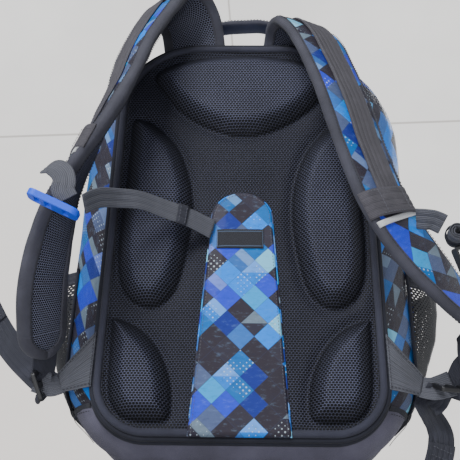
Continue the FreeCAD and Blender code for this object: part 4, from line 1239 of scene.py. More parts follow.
def tongue_y(x, z):
    """Depth of the tongue's face at (x, z), read from its own grid."""
    x, z = np.asarray(x, float), np.asarray(z, float)
    i = np.clip(np.searchsorted(tongue_z, z) - 1, 0, len(tongue_z) - 2)
    f = np.clip((z - tongue_z[i]) / (tongue_z[i + 1] - tongue_z[i]), 0, 1)
    half = np.maximum(tongue_hw[i] * (1 - f) + tongue_hw[i + 1] * f, 1e-3)
    at = (np.clip(x / half, -1, 1) + 1) / 2 * (TONGUE_COLS - 1)
    j = np.clip(at.astype(int), 0, TONGUE_COLS - 2)
    g = at - j

    def on_row(row):
        return tongue_grid_y[row, j] * (1 - g) + tongue_grid_y[row, j + 1] * g
    return on_row(i) * (1 - f) + on_row(i + 1) * f


def tongue_path(inset, foot_z, dy=0.0):
    """Path up the right edge, over the arch and down the left, inset from the rim."""
    n = 80
    up = np.linspace(foot_z, ARCH_Z, n)
    a = np.linspace(0, math.pi, n)
    r = TONGUE_R - inset
    down = np.linspace(ARCH_Z, foot_z, n)
    x = np.concatenate([tongue_half(up) - inset, r * np.cos(a), -(tongue_half(down) - inset)])
    z = np.concatenate([up, ARCH_Z + r * np.sin(a), down])
    return np.stack([x, tongue_y(x, z) + dy, z], 1)


parts = [stitches(tongue_path(2.6, 24.0), TO_BACK, THREAD, pitch=3.0, length=2.0, r=0.3,
                  offset=0.0),
         tube(smooth_path(tongue_path(0.2, 21.0, dy=0.9), 4), 1.05, PRINT_TONGUE, seg=8)]
place(join("tongue_edge", parts), "bag", "print_fabric")

# ---- blank woven label, sewn on near the arch
LABEL_X, LABEL_Z = -1.5, 203.5
LABEL_HALF_X, LABEL_HALF_Z = 21.5, 9.5
X, Z = np.meshgrid(np.linspace(-LABEL_HALF_X, LABEL_HALF_X, 23),
                   np.linspace(-LABEL_HALF_Z, LABEL_HALF_Z, 11), indexing="ij")
Y = (tongue_y(X + LABEL_X, Z + LABEL_Z) - 0.75
     - 0.35 * smooth01((1 - np.abs(X) / LABEL_HALF_X) * 6) + 0.12 * np.sin(X * 0.6))
label = grid(np.stack([X + LABEL_X, Y, Z + LABEL_Z], -1), np.stack([X, Z], -1), LABEL,
             name="lb")
face_towards(label, TO_BACK)
solid(label, 0.8)
seam = [(-20, 0, -8.2), (20, 0, -8.2), (20, 0, 8.2), (-20, 0, 8.2), (-20, 0, -8.2)]
p = resample(seam, n=90) + [LABEL_X, 0, LABEL_Z]
p[:, 1] = tongue_y(p[:, 0], p[:, 2]) - 1.15
label_stitch = stitches(p, TO_BACK, THREAD_DARK, pitch=2.2, length=1.5, r=0.22, name="lbs")
place(label, "bag", "label_weave", "woven_label")
label.name = "label_blank"
place(label_stitch, "bag", "label_weave")
label_stitch.name = "label_stitch"

# ------------------------------------------------------------------ shoulder straps
# centre line x, y, z, direction of the outer face, width; from the root down
STRAP_LEFT = [
    (-52, -84, 436, 0.0, 0.90, 0.35, 60), (-56, -90, 452, 0.0, 0.75, 0.66, 61),
    (-66, -103, 461, -0.25, 0.15, 0.96, 62), (-82, -117, 447, -0.50, -0.50, 0.72, 61),
    (-102, -138, 388, -0.72, -0.62, 0.30, 60), (-112, -150, 338, -0.80, -0.52, 0.22, 60),
    (-126, -158, 291, -0.88, -0.40, 0.20, 58), (-149, -163, 228, -0.96, -0.06, 0.22, 56),
    (-158, -160, 201, -0.93, 0.24, 0.22, 54), (-165, -152, 172, -0.86, 0.42, 0.26, 52),
    (-170, -140, 143, -0.77, 0.52, 0.34, 50), (-172, -121, 114, -0.70, 0.56, 0.42, 47),
    (-171, -102, 87, -0.68, 0.57, 0.42, 42)]
STRAP_RIGHT = [
    (50, -86, 434, 0.0, 0.43, 0.90, 56), (53, -97, 436, 0.05, 0.10, 1.0, 60),
    (60, -110, 430, 0.20, -0.35, 0.92, 62), (70, -126, 407, 0.38, -0.70, 0.58, 61),
    (81, -143, 366, 0.48, -0.78, 0.38, 60), (93, -157, 317, 0.53, -0.79, 0.28, 60),
    (106, -164, 262, 0.55, -0.80, 0.22, 59), (124, -163, 208, 0.58, -0.80, 0.16, 58),
    (147, -156, 171, 0.64, -0.76, 0.10, 56), (172, -144, 144, 0.78, -0.60, 0.10, 54),
    (195, -128, 124, 0.95, -0.28, 0.10, 52), (210, -112, 108, 0.88, 0.45, 0.05, 52),
    (208, -99, 94, 0.50, 0.86, 0.05, 50), (195, -92, 83, 0.22, 0.97, 0.10, 44)]
# the section is a superellipse: powers of its across and outward coordinates
ACROSS_POWER, OUT_POWER = 0.60, 0.82
STRAP_HALF_THICK = 6.5
STRAP_END_R = 23.0
BIND_INNER = 9.0  # width of the binding on the inner face


def strap_height(share):
    """Height of the section at a place across, as a share of the half thickness."""
    return np.sqrt(np.clip(1 - np.abs(share) ** (2 / ACROSS_POWER), 0, 1)) ** OUT_POWER


class Strap:
    """Path, directions and section of one padded strap, sampled along its length."""

    def __init__(self, keys, tab_at, root_back, bind_outer, seed):
        samples = 241
        rows = catmull(keys, samples)
        P = np.vstack([[np.asarray(root_back, float)], rows[:, :3]])
        rows = np.vstack([rows[:1], rows])
        share = np.concatenate([[-0.001], np.linspace(0, 1, samples)])
        s = arclen(P)
        self.L = s[-1]
        straight = self.L - STRAP_END_R
        end_turn = np.linspace(0, math.pi / 2 * 0.985, 18)
        self.s = np.concatenate([np.arange(0, straight, 2.6),
                                 straight + STRAP_END_R * np.sin(end_turn)])
        self.P = smooth_path(interp_rows(self.s, s, P), 2)
        out = smooth_path(interp_rows(self.s, s, rows[:, 3:6]), 2)
        half = np.interp(self.s, s, rows[:, 6]) / 2
        self.tab_s = float(np.interp(tab_at, share, s))
        self.T, self.N, self.A = path_frame(self.P, out)
        to_end = self.L - self.s

        def end_round(margin=0.0):
            """Falls from 1 to 0 over the rounded end, for a line set in by margin."""
            t = np.clip((STRAP_END_R - to_end) / (STRAP_END_R - margin), 0, 1)
            return np.sqrt(1 - t ** 2)

        self.hw = half * np.maximum(end_round(), math.sqrt(0.0006))
        # half-widths left free by the binding on the outer and the inner face
        self.free_outer, self.free_inner = (
            np.clip((half - bind) * end_round(bind), 0, None)
            for bind in (bind_outer, BIND_INNER))
        puff = 1 + 0.10 * vnoise(self.P, 38, seed) + 0.06 * vnoise(self.P, 17, seed + 3)
        self.ht = STRAP_HALF_THICK * (0.42 + 0.58 * end_round()) * puff
        self.seed = seed

    def section(self, across, out):
        """Points at shares of the half-width and the half thickness, (cols) or (rows, cols)."""
        return (self.P[:, None] + self.A[:, None] * (across * self.hw[:, None])[..., None]
                + self.N[:, None] * (out * self.ht[:, None])[..., None])

    def surf(self, share, face, off):
        """Points off above the outer (face 1) or inner (face -1) side."""
        edge = (np.abs(share) ** 6)[..., None]
        normal = (self.N[:, None] * face * (1 - edge)
                  + self.A[:, None] * np.sign(share)[..., None] * edge)
        return self.section(share, face * strap_height(share)) + unit(normal) * off

    def wrinkle(self, Q, scale, amp):
        return Q + self.N[:, None] * (fbm(Q, scale, self.seed + 40) * amp)[..., None]

    def row(self, s):
        """Point, tangent, across, normal, half-width and half thickness at length s."""
        P, T, A, N = (interp_rows(s, self.s, a) for a in (self.P, self.T, self.A, self.N))
        return (P, unit(T), unit(A), unit(N), float(np.interp(s, self.s, self.hw)),
                float(np.interp(s, self.s, self.ht)))


def face_off_strap(o, st, outer_face=False):
    """Turns normals along the strap's outer direction, or else away from its centre line."""
    polygons = list(o.data.polygons)
    total = 0.0
    for p in polygons[::max(len(polygons) // 300, 1)]:
        c = np.array(p.center) / MM
        i = int(np.argmin(((st.P - c) ** 2).sum(1)))
        total += float(np.dot(st.N[i] if outer_face else c - st.P[i], np.array(p.normal)))
    if total < 0:
        o.data.flip_normals()


def strap_pad(st, name):
    """Padded body: a closed ring swept along the strap."""
    a = np.linspace(0, 2 * math.pi, 61)[:-1]
    across, out = signed_power(np.cos(a), ACROSS_POWER), signed_power(np.sin(a), OUT_POWER)
    G = st.wrinkle(st.section(across, out), 30, 0.7 * np.abs(out)[None])
    around = arclen(np.stack([across * 30, out * STRAP_HALF_THICK], 1))
    around = np.append(around, around[-1] + 2.0)
    V, F, loop_uv = grid_arrays(G, pair(around[None], st.s[:, None]), False, True)
    F, loop_uv = capped(F, loop_uv, len(st.s), len(a))
    return recalc_normals(make(name, V, F, AIR_STRAP, loop_uv))


def strap_cover(st, name):
    """Printed outer face, reaching a little under the binding."""
    reach = np.clip((st.free_outer + 2.5) / np.maximum(st.hw, 1e-3), 0, 0.99)
    share = np.linspace(-1, 1, 25)[None] * reach[:, None]
    Q = st.wrinkle(st.surf(share, 1, 0.7), 26, 0.5)
    UV = pair(share * st.hw[:, None], st.s[:, None])
    o = grid(Q, UV, PRINT_STRAP, flip=True, name=name)
    face_off_strap(o, st, outer_face=True)
    solid(o, 0.8)
    return o


def strap_binding(st, name):
    """Tape folded round both edges and the end, stitched on both faces."""
    cols = 17
    ramp = np.linspace(0, 1, cols // 2 + 1)[None]
    inner_turn, outer_turn = (
        np.arccos(np.clip(free / np.maximum(st.hw, 1e-3), 0, 0.995) ** (1 / ACROSS_POWER))
        for free in (st.free_inner, st.free_outer))
    a = np.concatenate([-inner_turn[:, None] * ramp[:, :0:-1], outer_turn[:, None] * ramp], 1)
    across = np.abs(np.cos(a)) ** ACROSS_POWER
    out = signed_power(np.sin(a), OUT_POWER)
    parts = []
    for side in (1, -1):
        normal = unit(st.A[:, None] * (side * across ** 3)[..., None]
                      + st.N[:, None] * out[..., None])
        off = 1.25 + 0.22 * vnoise(st.P, 9, st.seed + 77)
        Q = st.section(side * across, out) + normal * off[:, None, None]
        Q = st.wrinkle(Q, 30, 0.6 * np.abs(out))
        UV = pair(np.linspace(-14, 14, cols)[None], st.s[:, None])
        tape = grid(Q, UV, BIND, flip=(side > 0))
        weld(tape, 0.02)
        face_off_strap(tape, st)
        solid_applied(tape, 1.1)
        parts.append(tape)
        sewn = st.s < st.L - 9
        for face, free in ((1, st.free_outer), (-1, st.free_inner)):
            share = np.clip((free + 1.8) / np.maximum(st.hw, 1e-3), 0, 0.97)[:, None] * side
            p = st.surf(share, face, 1.5)[:, 0]
            parts.append(stitches(p[sewn], st.N[sewn] * face, THREAD_DARK, pitch=3.4,
                                  length=2.2, r=0.34, offset=0.2))
    return join(name, parts)


def strap_band(st, width, name):
    """Ribbed band along the outer face, from the root to the cross tab."""
    sel = st.s <= st.tab_s + 4
    outboard = 3.0 * np.sign(st.P[60, 0]) * np.sign(st.A[60, 0])
    N, A = st.N[sel], st.A[sel]
    P = (st.P + st.N * (st.ht + 1.9)[:, None] + st.A * outboard)[sel]
    P = P + N * (vnoise(st.P[sel], 24, st.seed + 9) * 0.5)[:, None]
    parts = [rib_band(P, N, width, 1.9, BAND, ribs=5)]
    for off in (1.35 - width / 2, width / 2 - 1.35):
        parts.append(stitches(P + A * off + N * 0.9, N, THREAD, pitch=3.6, r=0.32,
                              offset=0.1))
    return join(name, parts)


def cross_tab(st, name):
    """Webbing tab laid across the strap, over the end of the band."""
    c, t, a, n, half, ht = st.row(st.tab_s)
    share = np.linspace(-1.06, 1.06, 33)
    drop = (3.6 * np.clip(np.abs(share) - 1, 0, None) / 0.06) * 0.6
    height = ht * strap_height(share) + 3.6 - drop
    P = smooth_path(c + a * (share * half)[:, None] + n * height[:, None])
    # the band passes under the middle, so the tab rises there
    P = P + n * (0.9 * np.exp(-((share * half) / 15.0) ** 4))[:, None]
    parts = [rib_band(P, n, 26.0, 1.9, BAND, ribs=4)]
    for off in (-11.0, 11.0):
        parts.append(stitches(P[2:-2] + t * off + n * 0.9, n, THREAD, r=0.32))
    for off in (-15.2, 15.2):
        end = c + a * off + n * (ht + 5.4)
        parts.append(stitches([end - t * 11, end + t * 11], n, THREAD, pitch=3.0, r=0.32))
    return join(name, parts)


def strap_reflector(st, name):
    """Short reflective strip across the strap below the tab."""
    c, _, a, n, half, ht = st.row(st.tab_s + 15.8)
    share = np.linspace(-0.99, 0.99, 27)[:, None]
    P = c + a * share * half + n * (ht * strap_height(share) + 1.9)
    return ribbon(P, n, 5.6, 1.0, REFLECTIVE, name=name)


def strap_pieces(side, keys, tab_at, root_back, seed, bind_outer, band_width):
    """All the cloth of one strap; the long pieces stay where they are built, attached to no body.
    """
    st = Strap(keys, tab_at, root_back, bind_outer, seed)
    body = "strap_" + side
    for o, node, slot in (
            (strap_pad(st, "strap_pad_%s_cloth" % side), "strap_pad_", "air_mesh"),
            (strap_cover(st, "strap_cover_%s_cloth" % side), "strap_cover_", "print_fabric"),
            (strap_binding(st, "strap_binding_%s_tape" % side), "strap_binding_",
             "edge_binding"),
            (strap_band(st, band_width, "strap_band_%s_web" % side), "strap_band_",
             "webbing")):
        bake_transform(o)
        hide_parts(node + side)
    place(cross_tab(st, "cross_tab_%s_web" % side), body, "webbing", "cross_tab_" + side)
    place(strap_reflector(st, "reflector_%s_tape" % side), body, "reflective",
          "reflector_" + side)
    return st


STRAPS = {
    "left": strap_pieces("left", STRAP_LEFT, tab_at=0.54, root_back=(-50, -82.5, 420),
                         seed=11,
                         bind_outer=8.0, band_width=25.5),
    "right": strap_pieces("right", STRAP_RIGHT, tab_at=0.54, root_back=(48, -74, 424),
                          seed=23,
                          bind_outer=5.6, band_width=28.0)}


# ------------------------------------------------------------------ lower webbing
def wing(name, node, side):
    """A tapering piece of doubled ribbed webbing from the panel's edge towards the buckle."""
    root_low, root_high = np.array([[side * 129.5, -95.2, 64.0], [side * 128.0, -95.6, 114.0]])
    tip_low, tip_high = np.array([[side * 156.0, -87.8, 61.0], [side * 160.0, -87.2, 78.0]])
    rows, cols = 20, 73
    a = np.linspace(0, 1, rows)[:, None]
    b = np.linspace(0, 1, cols)[None]
    a3, b3 = a[..., None], b[..., None]
    P = ((root_low * (1 - b3) + root_high * b3) * (1 - a3)
         + (tip_low * (1 - b3) + tip_high * b3) * a3)
    P[..., 1] -= 1.4 * np.sin(np.pi * a) * (0.4 + 0.6 * np.sin(np.pi * b))
    P[..., 1] -= vnoise(P, 16, 71 + side) * 0.6
    P[..., 1] -= 0.55 * np.abs(np.sin(np.pi * 9 * b))
    o = grid(P, pair(b * 46, a * 32), WEB)
    solid_applied(o, 2.0, offset=0)
    lines = [P[:, int(share * (cols - 1))] for share in (0.06, 0.94)] + [P[1]]
    parts = [o] + [stitches(line + TO_BACK * 1.2, TO_BACK, THREAD_DARK, r=0.32)
                   for line in lines]
    place(join(name, parts), "bag", "webbing", node)


wing("wing_left_cloth", "strap_wing_left", -1)
wing("wing_right_cloth", "strap_wing_right", 1)

# centre of each buckle, the direction along it and its outward direction
BUCKLES = {
    "left": np.array([(-174., -92.5, 67), (.10, .45, -.87), (-.95, .12, -.28)]),
    "right": np.array([(180., -89, 69), (-.95, -.25, -.02), (.10, -.42, .90)])}
# centre lines of the free tails, from the buckle to the end
TAILS = {
    "left": [(-168, -69, 70), (-179, -65, 79), (-191, -61, 90), (-204, -56, 103),
             (-217, -51, 118), (-228, -47, 134), (-240, -43, 154)],
    "right": [(163, -79, 56), (166, -74, 50), (172, -69, 42), (176, -66, 33), (176, -64, 24),
              (174, -63, 15), (171, -62, 6)]}


def lower_webbing(side, sign):
    c, along, out = BUCKLES[side]
    along = along / np.linalg.norm(along)
    out = out - along * (out @ along)
    out /= np.linalg.norm(out)
    # the run from the wing's tip into the buckle
    tip = np.array([sign * 157.0, -87.4, 69.0])
    run = catmull([tip, (tip + c) / 2 + [0, -1.5, -2.0], c - along * 4 + out * 3.2], 16)
    parts = [rib_band(run, (sign * 0.15, -0.98, 0.05), np.linspace(19, 23, 16), 1.5, WEB,
                      ribs=4)]
    # the free tail that hangs from the buckle
    start = c + along * 5 - out * 1.0
    mid = (start + np.array(TAILS[side][0], float)) / 2 + [0, 3.0, -3.0]
    tail = resample(catmull([start, mid] + TAILS[side], 90), step=2.4)
    twist = 0.25 * np.sin(np.linspace(0, 1, len(tail)) * 5)
    normals = unit(np.array([sign * 0.32, -0.94, 0.05]) + UPWARD * twist[:, None])
    tail = wave(tail, normals, 1.2, 34, 91)
    parts.append(rib_band(tail, normals, 25.5, 1.6, WEB_DARK, ribs=5))
    # its end is folded over and sewn with two rows
    parts.append(rib_band(tail[-9:] + normals[-9:] * 1.7, normals[-9:], 25.7, 1.5, WEB_DARK,
                          ribs=5))
    across = np.cross(unit(tail[-1] - tail[-3]), normals[-4]) * 11
    for row in (-4, -7):
        middle = tail[row] + normals[row] * 2.7
        parts.append(stitches([middle - across, middle + across], normals[row], THREAD,
                              r=0.32))
    # loop from the strap's sewn end to the buckle
    st = STRAPS[side]
    loop = catmull([st.P[-10] - st.N[-10] * 2, st.P[-1] - st.N[-1] * 1.0,
                    c - along * 9 - out * 2.8, c - along * 12], 22)
    parts.append(rib_band(loop, st.N[-1], 24.0, 1.5, WEB_DARK, ribs=5))
    return join("lower_webbing_%s_cloth" % side, parts)


for side, sign in (("left", -1), ("right", 1)):
    place(lower_webbing(side, sign), "strap_" + side, "webbing", "lower_webbing_" + side)

# ------------------------------------------------------------------ chest strap
# x, y, z and the outward direction
CHEST_LEFT = [
    (-130, -195.5, 191, .25, -.70, -.55), (-124.5, -186, 199.5, .35, -.75, -.45),
    (-117, -174, 208, .50, -.80, -.25), (-104, -157, 216, .55, -.82, -.10),
    (-90, -143, 220.5, .55, -.83, 0), (-76, -132, 221.5, .52, -.85, 0),
    (-62, -123, 220.5, .50, -.86, 0), (-48, -115, 218, .50, -.86, 0),
    (-36, -107, 215, .45, -.89, 0), (-27, -101.8, 212.5, .30, -.95, 0)]
CHEST_TAIL = [
    (-143, -204.5, 191, .10, -.80, -.45), (-147, -206.5, 199, .06, -.86, -.38),
    (-146, -207, 206, 0, -.93, -.25), (-149, -206, 215, -.10, -.95, .10),
    (-157, -203, 222, -.20, -.85, .40), (-165, -199, 222, -.30, -.65, .65)]
CHEST_RIGHT = [
    (150, -163, 195, .30, -.70, -.60), (157, -166, 193, .30, -.70, -.60),
    (164, -166.5, 192, .22, -.60, -.75), (172, -165.5, 188.5, .35, -.50, -.75)]
ROLL_CENTRE = np.array([183.0, -163.0, 180.0])


def chest_left():
    """The left half, with a short sewn keeper over it."""
    n = 76
    P, N = path_and_normals(CHEST_LEFT, 120)
    s = arclen(P)
    q = np.linspace(0, s[-1], n)
    P, N = interp_rows(q, s, P), interp_rows(q, s, N)
    P = wave(P, N, 0.9, 22, 55)
    P[:, 2] += 0.8 * vnoise(P, 30, 57)
    k = 56  # where the keeper starts
    parts = [rib_band(P, N, np.linspace(17.0, 19.5, n), 1.6, WEB, ribs=3),
             rib_band(P[k:k + 6] + N[k:k + 6] * 1.6, N[k:k + 6], 20.2, 1.5, WEB_DARK, ribs=3)]
    across = np.cross(unit(np.gradient(P, axis=0)), N)[k] * 8
    for row in (k + 1, k + 4):
        middle = P[row] + N[k] * 2.6
        parts.append(stitches([middle - across, middle + across], N[k], THREAD, r=0.3))
    return join("chest_webbing_left_cloth", parts)


def in_roll(angle, radius, dy=0.0):
    """Path about the roll's axis, which lies along Y, and its outward directions."""
    N = np.stack([np.cos(angle), 0 * angle, np.sin(angle)], 1)
    return ROLL_CENTRE + N * np.reshape(radius, (-1, 1)) + [0, dy, 0], N


def chest_right():
    """A short run from the strap, and the rest rolled up in its keeper."""
    parts = [rib_band(*path_and_normals(CHEST_RIGHT, 22), 18.5, 1.6, WEB, ribs=3)]
    turn = np.linspace(0, 2 * math.pi * 2.6, 90)
    parts.append(rib_band(*in_roll(turn + 2.2, 3.0 + 5.0 * turn / turn[-1]), 19.5, 1.3, WEB,
                          ribs=3))
    parts.append(ribbon(*in_roll(np.linspace(0, 2 * math.pi, 40), 9.1, dy=1.0), 6.0, 1.2,
                        BIND_DARK))
    return join("chest_webbing_right_cloth", parts)


place(chest_left(), "chest_left", "webbing", "chest_webbing_left")
o = rib_band(*path_and_normals(CHEST_TAIL, 40), 19.5, 1.6, WEB, ribs=3,
             name="chest_tail_cloth")
place(o, "strap_left", "webbing", "chest_tail_left")
place(chest_right(), "chest_right", "webbing", "chest_webbing_right")

# ------------------------------------------------------------------ grab handle
# x, y, z, outward direction, width
HANDLE = [
    (-47, -60, 430, -1, 0, .1, 7), (-46.5, -60.5, 441, -.98, 0, .15, 9),
    (-44, -61, 452, -.9, -.1, .42, 17), (-36, -62, 461.5, -.5, -.15, .86, 21),
    (-18, -63, 466, -.10, -.1, 1, 22), (0, -63, 467, 0, -.1, 1, 22),
    (18, -63, 467.5, .05, -.1, 1, 22), (36, -62, 463, .5, -.1, .86, 21),
    (44, -61, 453, .9, -.1, .42, 17), (46.5, -60.5, 441, .98, 0, .15, 9),
    (47, -60, 430, 1, 0, .1, 7)]
HANDLE_X, HANDLE_Y = 47, -60


def grab_handle():
    """Soft handle: a flat rounded section swept over its arch, sewn along both edges."""
    n = 150
    r = catmull(HANDLE, n)
    P = wave(r[:, :3], unit(r[:, 3:6]), 0.8, 30, 66)
    _, U, S = path_frame(P, r[:, 3:6])
    a = np.linspace(0, 2 * math.pi, 40, endpoint=False)
    across, out = signed_power(np.cos(a), 0.7), signed_power(np.sin(a), 0.8)
    half = np.maximum(r[:, 6], 12) / 2
    thick = 2.6 + 1.4 * np.sin(np.linspace(0, math.pi, n)) ** 0.5
    G = (P[:, None] + S[:, None] * (across[None] * half[:, None])[..., None]
         + U[:, None] * (out[None] * thick[:, None])[..., None])
    G = G + U[:, None] * (fbm(G, 14, 67, octaves=2) * 0.45)[..., None]
    UV = pair(np.linspace(0, 52, 41)[None], arclen(P)[:, None])
    parts = [recalc_normals(grid(G, UV, BIND, close_cols=True))]
    sel = slice(18, 132)
    for side in (-1, 1):
        line = P + S * (side * (half - 2.6))[:, None] + U * (thick * 0.86)[:, None]
        parts.append(stitches(line[sel], U[sel], THREAD, r=0.32, offset=0.35))
    return join("grab_handle_cloth", parts)


def handle_anchors():
    """Patches under the handle's ends, each sewn with a crossed box."""
    def patch_z(x, y):
        return 431.6 + 1.6 * np.exp(-(x / 6) ** 2 - (y / 7) ** 2)
    crossed_box = [(-7.5, -10), (7.5, -10), (7.5, 10), (-7.5, 10), (-7.5, -10), (7.5, 10),
                   (7.5, -10), (-7.5, 10)]
    x, y = resample(crossed_box, n=90).T
    X, Y = np.meshgrid(np.linspace(-9.5, 9.5, 13), np.linspace(-12, 12, 15), indexing="ij")
    parts = []
    for side in (-1, 1):
        P = np.stack([X + side * HANDLE_X, Y + HANDLE_Y, patch_z(X, Y)], -1)
        patch = grid(P, np.stack([X, Y], -1), BIND_DARK)
        face_towards(patch, UPWARD)
        solid_applied(patch, 1.4)
        parts.append(patch)
        line = np.stack([x + side * HANDLE_X, y + HANDLE_Y, patch_z(x, y) + 0.1], 1)
        parts.append(stitches(line, UPWARD, THREAD, pitch=3.0, r=0.3))
    return join("handle_anchor_cloth", parts)


place(grab_handle(), "handle", "edge_binding", "grab_handle")
place(handle_anchors(), "bag", "edge_binding", "handle_anchor")


# ------------------------------------------------------------------ net side pockets
POCKET_Y, POCKET_DEPTH = -57, 72
# height z and the share of the full bulge there
POCKET_BULGE = np.array([(53, .05), (80, .12), (106, .34), (132, .78), (160, 1.0), (188, .97)])


def half_width(y, z):
    """Half-width of the carcass at depth y and height z."""
    low, top, z0, z1, r_low, r_top = section(y)
    lean = (low - top) / (z1 - z0)
    if z < z0 + r_low:
        fall = z0 + r_low - z
        return (low - lean * r_low) - r_low + math.sqrt(max(r_low ** 2 - fall ** 2, 0))
    if z > z1 - r_top:
        climb = z - (z1 - r_top)
        edge = low - lean * (z1 - r_top - z0)
        return edge - r_top + math.sqrt(max(r_top ** 2 - climb ** 2, 0))
    return low - lean * (z - z0)


def pocket_surface(side, heights, cols=61, off=2.6):
    """Rows of the bulging pocket at the given heights, gathered towards the hem."""
    t = np.linspace(0, 1, cols)
    arch = np.clip(np.sin(np.pi * t), 0, None)
    ys = POCKET_Y + POCKET_DEPTH * t
    rows = []
    for z in heights:
        bulge = 21.0 * np.interp(z, *POCKET_BULGE.T) * arch ** 0.8
        gather = (0.9 * np.sin(2 * math.pi * t * 9 + z * 0.05)
                  * smooth01((z - 150) / 38.0) * arch)
        width = np.array([half_width(y, z) for y in ys])
        rows.append(np.stack([side * (width + off + bulge + gather), ys, np.full(cols, z)], 1))
    P = np.array(rows, float)
    P[..., 0] += side * folds(P, 1.2, 17) * smooth01((P[..., 2] - 60) / 20) * arch[None]
    return P


def pocket_edge(name, side):
    """Hem webbing along the mouth, and cords down the sides and along the foot."""
    hem = pocket_surface(side, [181.0], 81, 2.9)[0]
    normals = unit(np.cross(unit(np.gradient(hem, axis=0)), UPWARD))
    if np.mean(normals[:, 0]) * side < 0:
        normals = -normals
    parts = [rib_band(hem, normals, 13.0, 1.6, WEB_DARK, ribs=3),
             stitches(hem + normals * 1.1 + [0, 0, -4.6], normals, THREAD, r=0.3)]
    for y in (POCKET_Y - 0.5, POCKET_Y + POCKET_DEPTH + 0.5):
        line = np.array([(side * (half_width(y, z) + 2.3), y, z)
                         for z in np.linspace(51.5, 190, 46)])
        parts.append(tube(line, 1.9, BIND_DARK, seg=9, squash=(1.25, 0.8)))
    foot = pocket_surface(side, [53.0], 61, 2.2)[0]
    parts.append(tube(foot, 1.8, BIND_DARK, seg=9))
    return join(name, parts)


for name, side in (("right", 1), ("left", -1)):
    heights = np.linspace(52, 186, 46)
    P = pocket_surface(side, heights)
    UV = pair(np.linspace(0, 84, P.shape[1])[None], heights[:, None])
    o = grid(P, UV, NET, name="net_pocket_" + name)
    face_out(o)
    solid(o, 0.6, offset=0)
    place(o, "bag", "net", "mesh_pocket_" + name)
    place(pocket_edge("net_pocket_edge_" + name, side), "bag", "edge_binding")

# ------------------------------------------------------------------ pockets on the cover
# outline values in the order of SECTIONS, without the depth
FRONT_POCKET = (106, 100, 66, 236, 34, 34)
UPPER_POCKET = (92, 84, 246, 346, 30, 30)
POCKET_ROOT_Y = 99.6


def face_bulge(x, z, middle_z, half_z, half_x, rise):
    return (rise * np.clip(1 - ((z - middle_z) / half_z) ** 2, 0, 1) ** 1.5
            * np.clip(1 - (x / half_x) ** 2, 0, 1) ** 0.8)


def front_bulge(x, z):
    return face_bulge(x, z, middle_z=132, half_z=58, half_x=92, rise=5.0)


def upper_bulge(x, z):
    return face_bulge(x, z, middle_z=280, half_z=30, half_x=80, rise=3.0)


def cloth_settle(o, pin):
    """Inflates a padded piece with the cloth solver; pin holds a weight per vertex."""
    frames, furthest = 18, 4.0
    me = o.data
    rest = np.zeros(len(me.vertices) * 3)
    me.vertices.foreach_get("co", rest)
    rest = rest.reshape(-1, 3)
    group = o.vertex_groups.new(name="pin")
    for i, weight in enumerate(pin):
        if weight > 0:
            group.add([i], float(weight), "REPLACE")
    m = o.modifiers.new("Cloth", "CLOTH")
    c = m.settings
    c.quality = 6
    c.mass = 0.25
    c.tension_stiffness = c.compression_stiffness = 18
    c.shear_stiffness = 8
    c.bending_stiffness = 1.2
    c.use_pressure = True
    c.uniform_pressure_force = 3.0
    c.vertex_group_mass = "pin"
    c.effector_weights.gravity = 0.0
    m.collision_settings.use_collision = False
    m.collision_settings.use_self_collision = False
    m.point_cache.frame_start = 1
    m.point_cache.frame_end = frames
    scene = bpy.context.scene
    for f in range(1, frames + 1):
        scene.frame_set(f)
    settled = o.evaluated_get(bpy.context.evaluated_depsgraph_get())
    got = np.zeros(len(settled.data.vertices) * 3)
    settled.data.vertices.foreach_get("co", got)
    moved = got.reshape(-1, 3) - rest
    length = np.linalg.norm(moved, axis=1, keepdims=True)
    limit = furthest * MM
    moved = np.where(length > limit, moved / np.maximum(length, 1e-9) * limit, moved)
    o.modifiers.remove(m)
    me.vertices.foreach_set("co", (rest + moved).ravel())
    me.update()
    scene.frame_set(1)


def pillow(name, par, depth, edge_r, bulge, amp, seed):
    """Box pocket: side walls, a rounded edge and a bulging face."""
    count, wall_rows = 300, 8
    wall = depth - edge_r
    turn = np.linspace(0, math.pi / 2, 9)[1:]
    rows = [outline(par, y, count)
            for y in np.linspace(POCKET_ROOT_Y, POCKET_ROOT_Y + wall, wall_rows)]
    rows += [outline(par, POCKET_ROOT_Y + wall + edge_r * math.sin(a), count,
                     -edge_r * (1 - math.cos(a))) for a in turn]
    rim_rows = len(rows)
    rim = rows[-1]
    middle_z = (par[2] + par[3]) / 2
    rows += [shrunk(rim, middle_z, 1 - k * 0.995) for k in np.linspace(0, 1, 26)[1:]]
    P = np.array(rows)
    P[rim_rows:, :, 1] += bulge(P[rim_rows:, :, 0], P[rim_rows:, :, 2])
    N = ring_normals(P, (0, POCKET_ROOT_Y - 30, middle_z))
    loose = np.ones(len(rows))
    loose[:wall_rows] = np.linspace(0, 1, wall_rows)
    P = P + N * (folds(P, amp, seed) * smooth01(loose)[:, None])[..., None]
    # the sides are mapped by distance from the seam, so that the print isn't smeared
    step = wall / (wall_rows - 1)
    travelled = np.concatenate([np.arange(wall_rows) * step, wall_rows * step + edge_r * turn])
    from_rim = np.zeros(len(rows))
    from_rim[:rim_rows] = travelled[-1] - travelled
    spread = unit(np.stack([rim[:, 0], rim[:, 2] - middle_z], 1))
    UV = P[..., [0, 2]] + spread[None] * from_rim[:, None, None]
    o = grid(P, close_cols(UV), PRINT_FRONT, close_cols=True, name=name)
    face_out(o, (0, POCKET_ROOT_Y - 30, middle_z))
    return o


pocket = pillow("front_pocket_cloth", FRONT_POCKET, depth=37.6, edge_r=12.0,
                bulge=front_bulge, amp=1.5, seed=5)
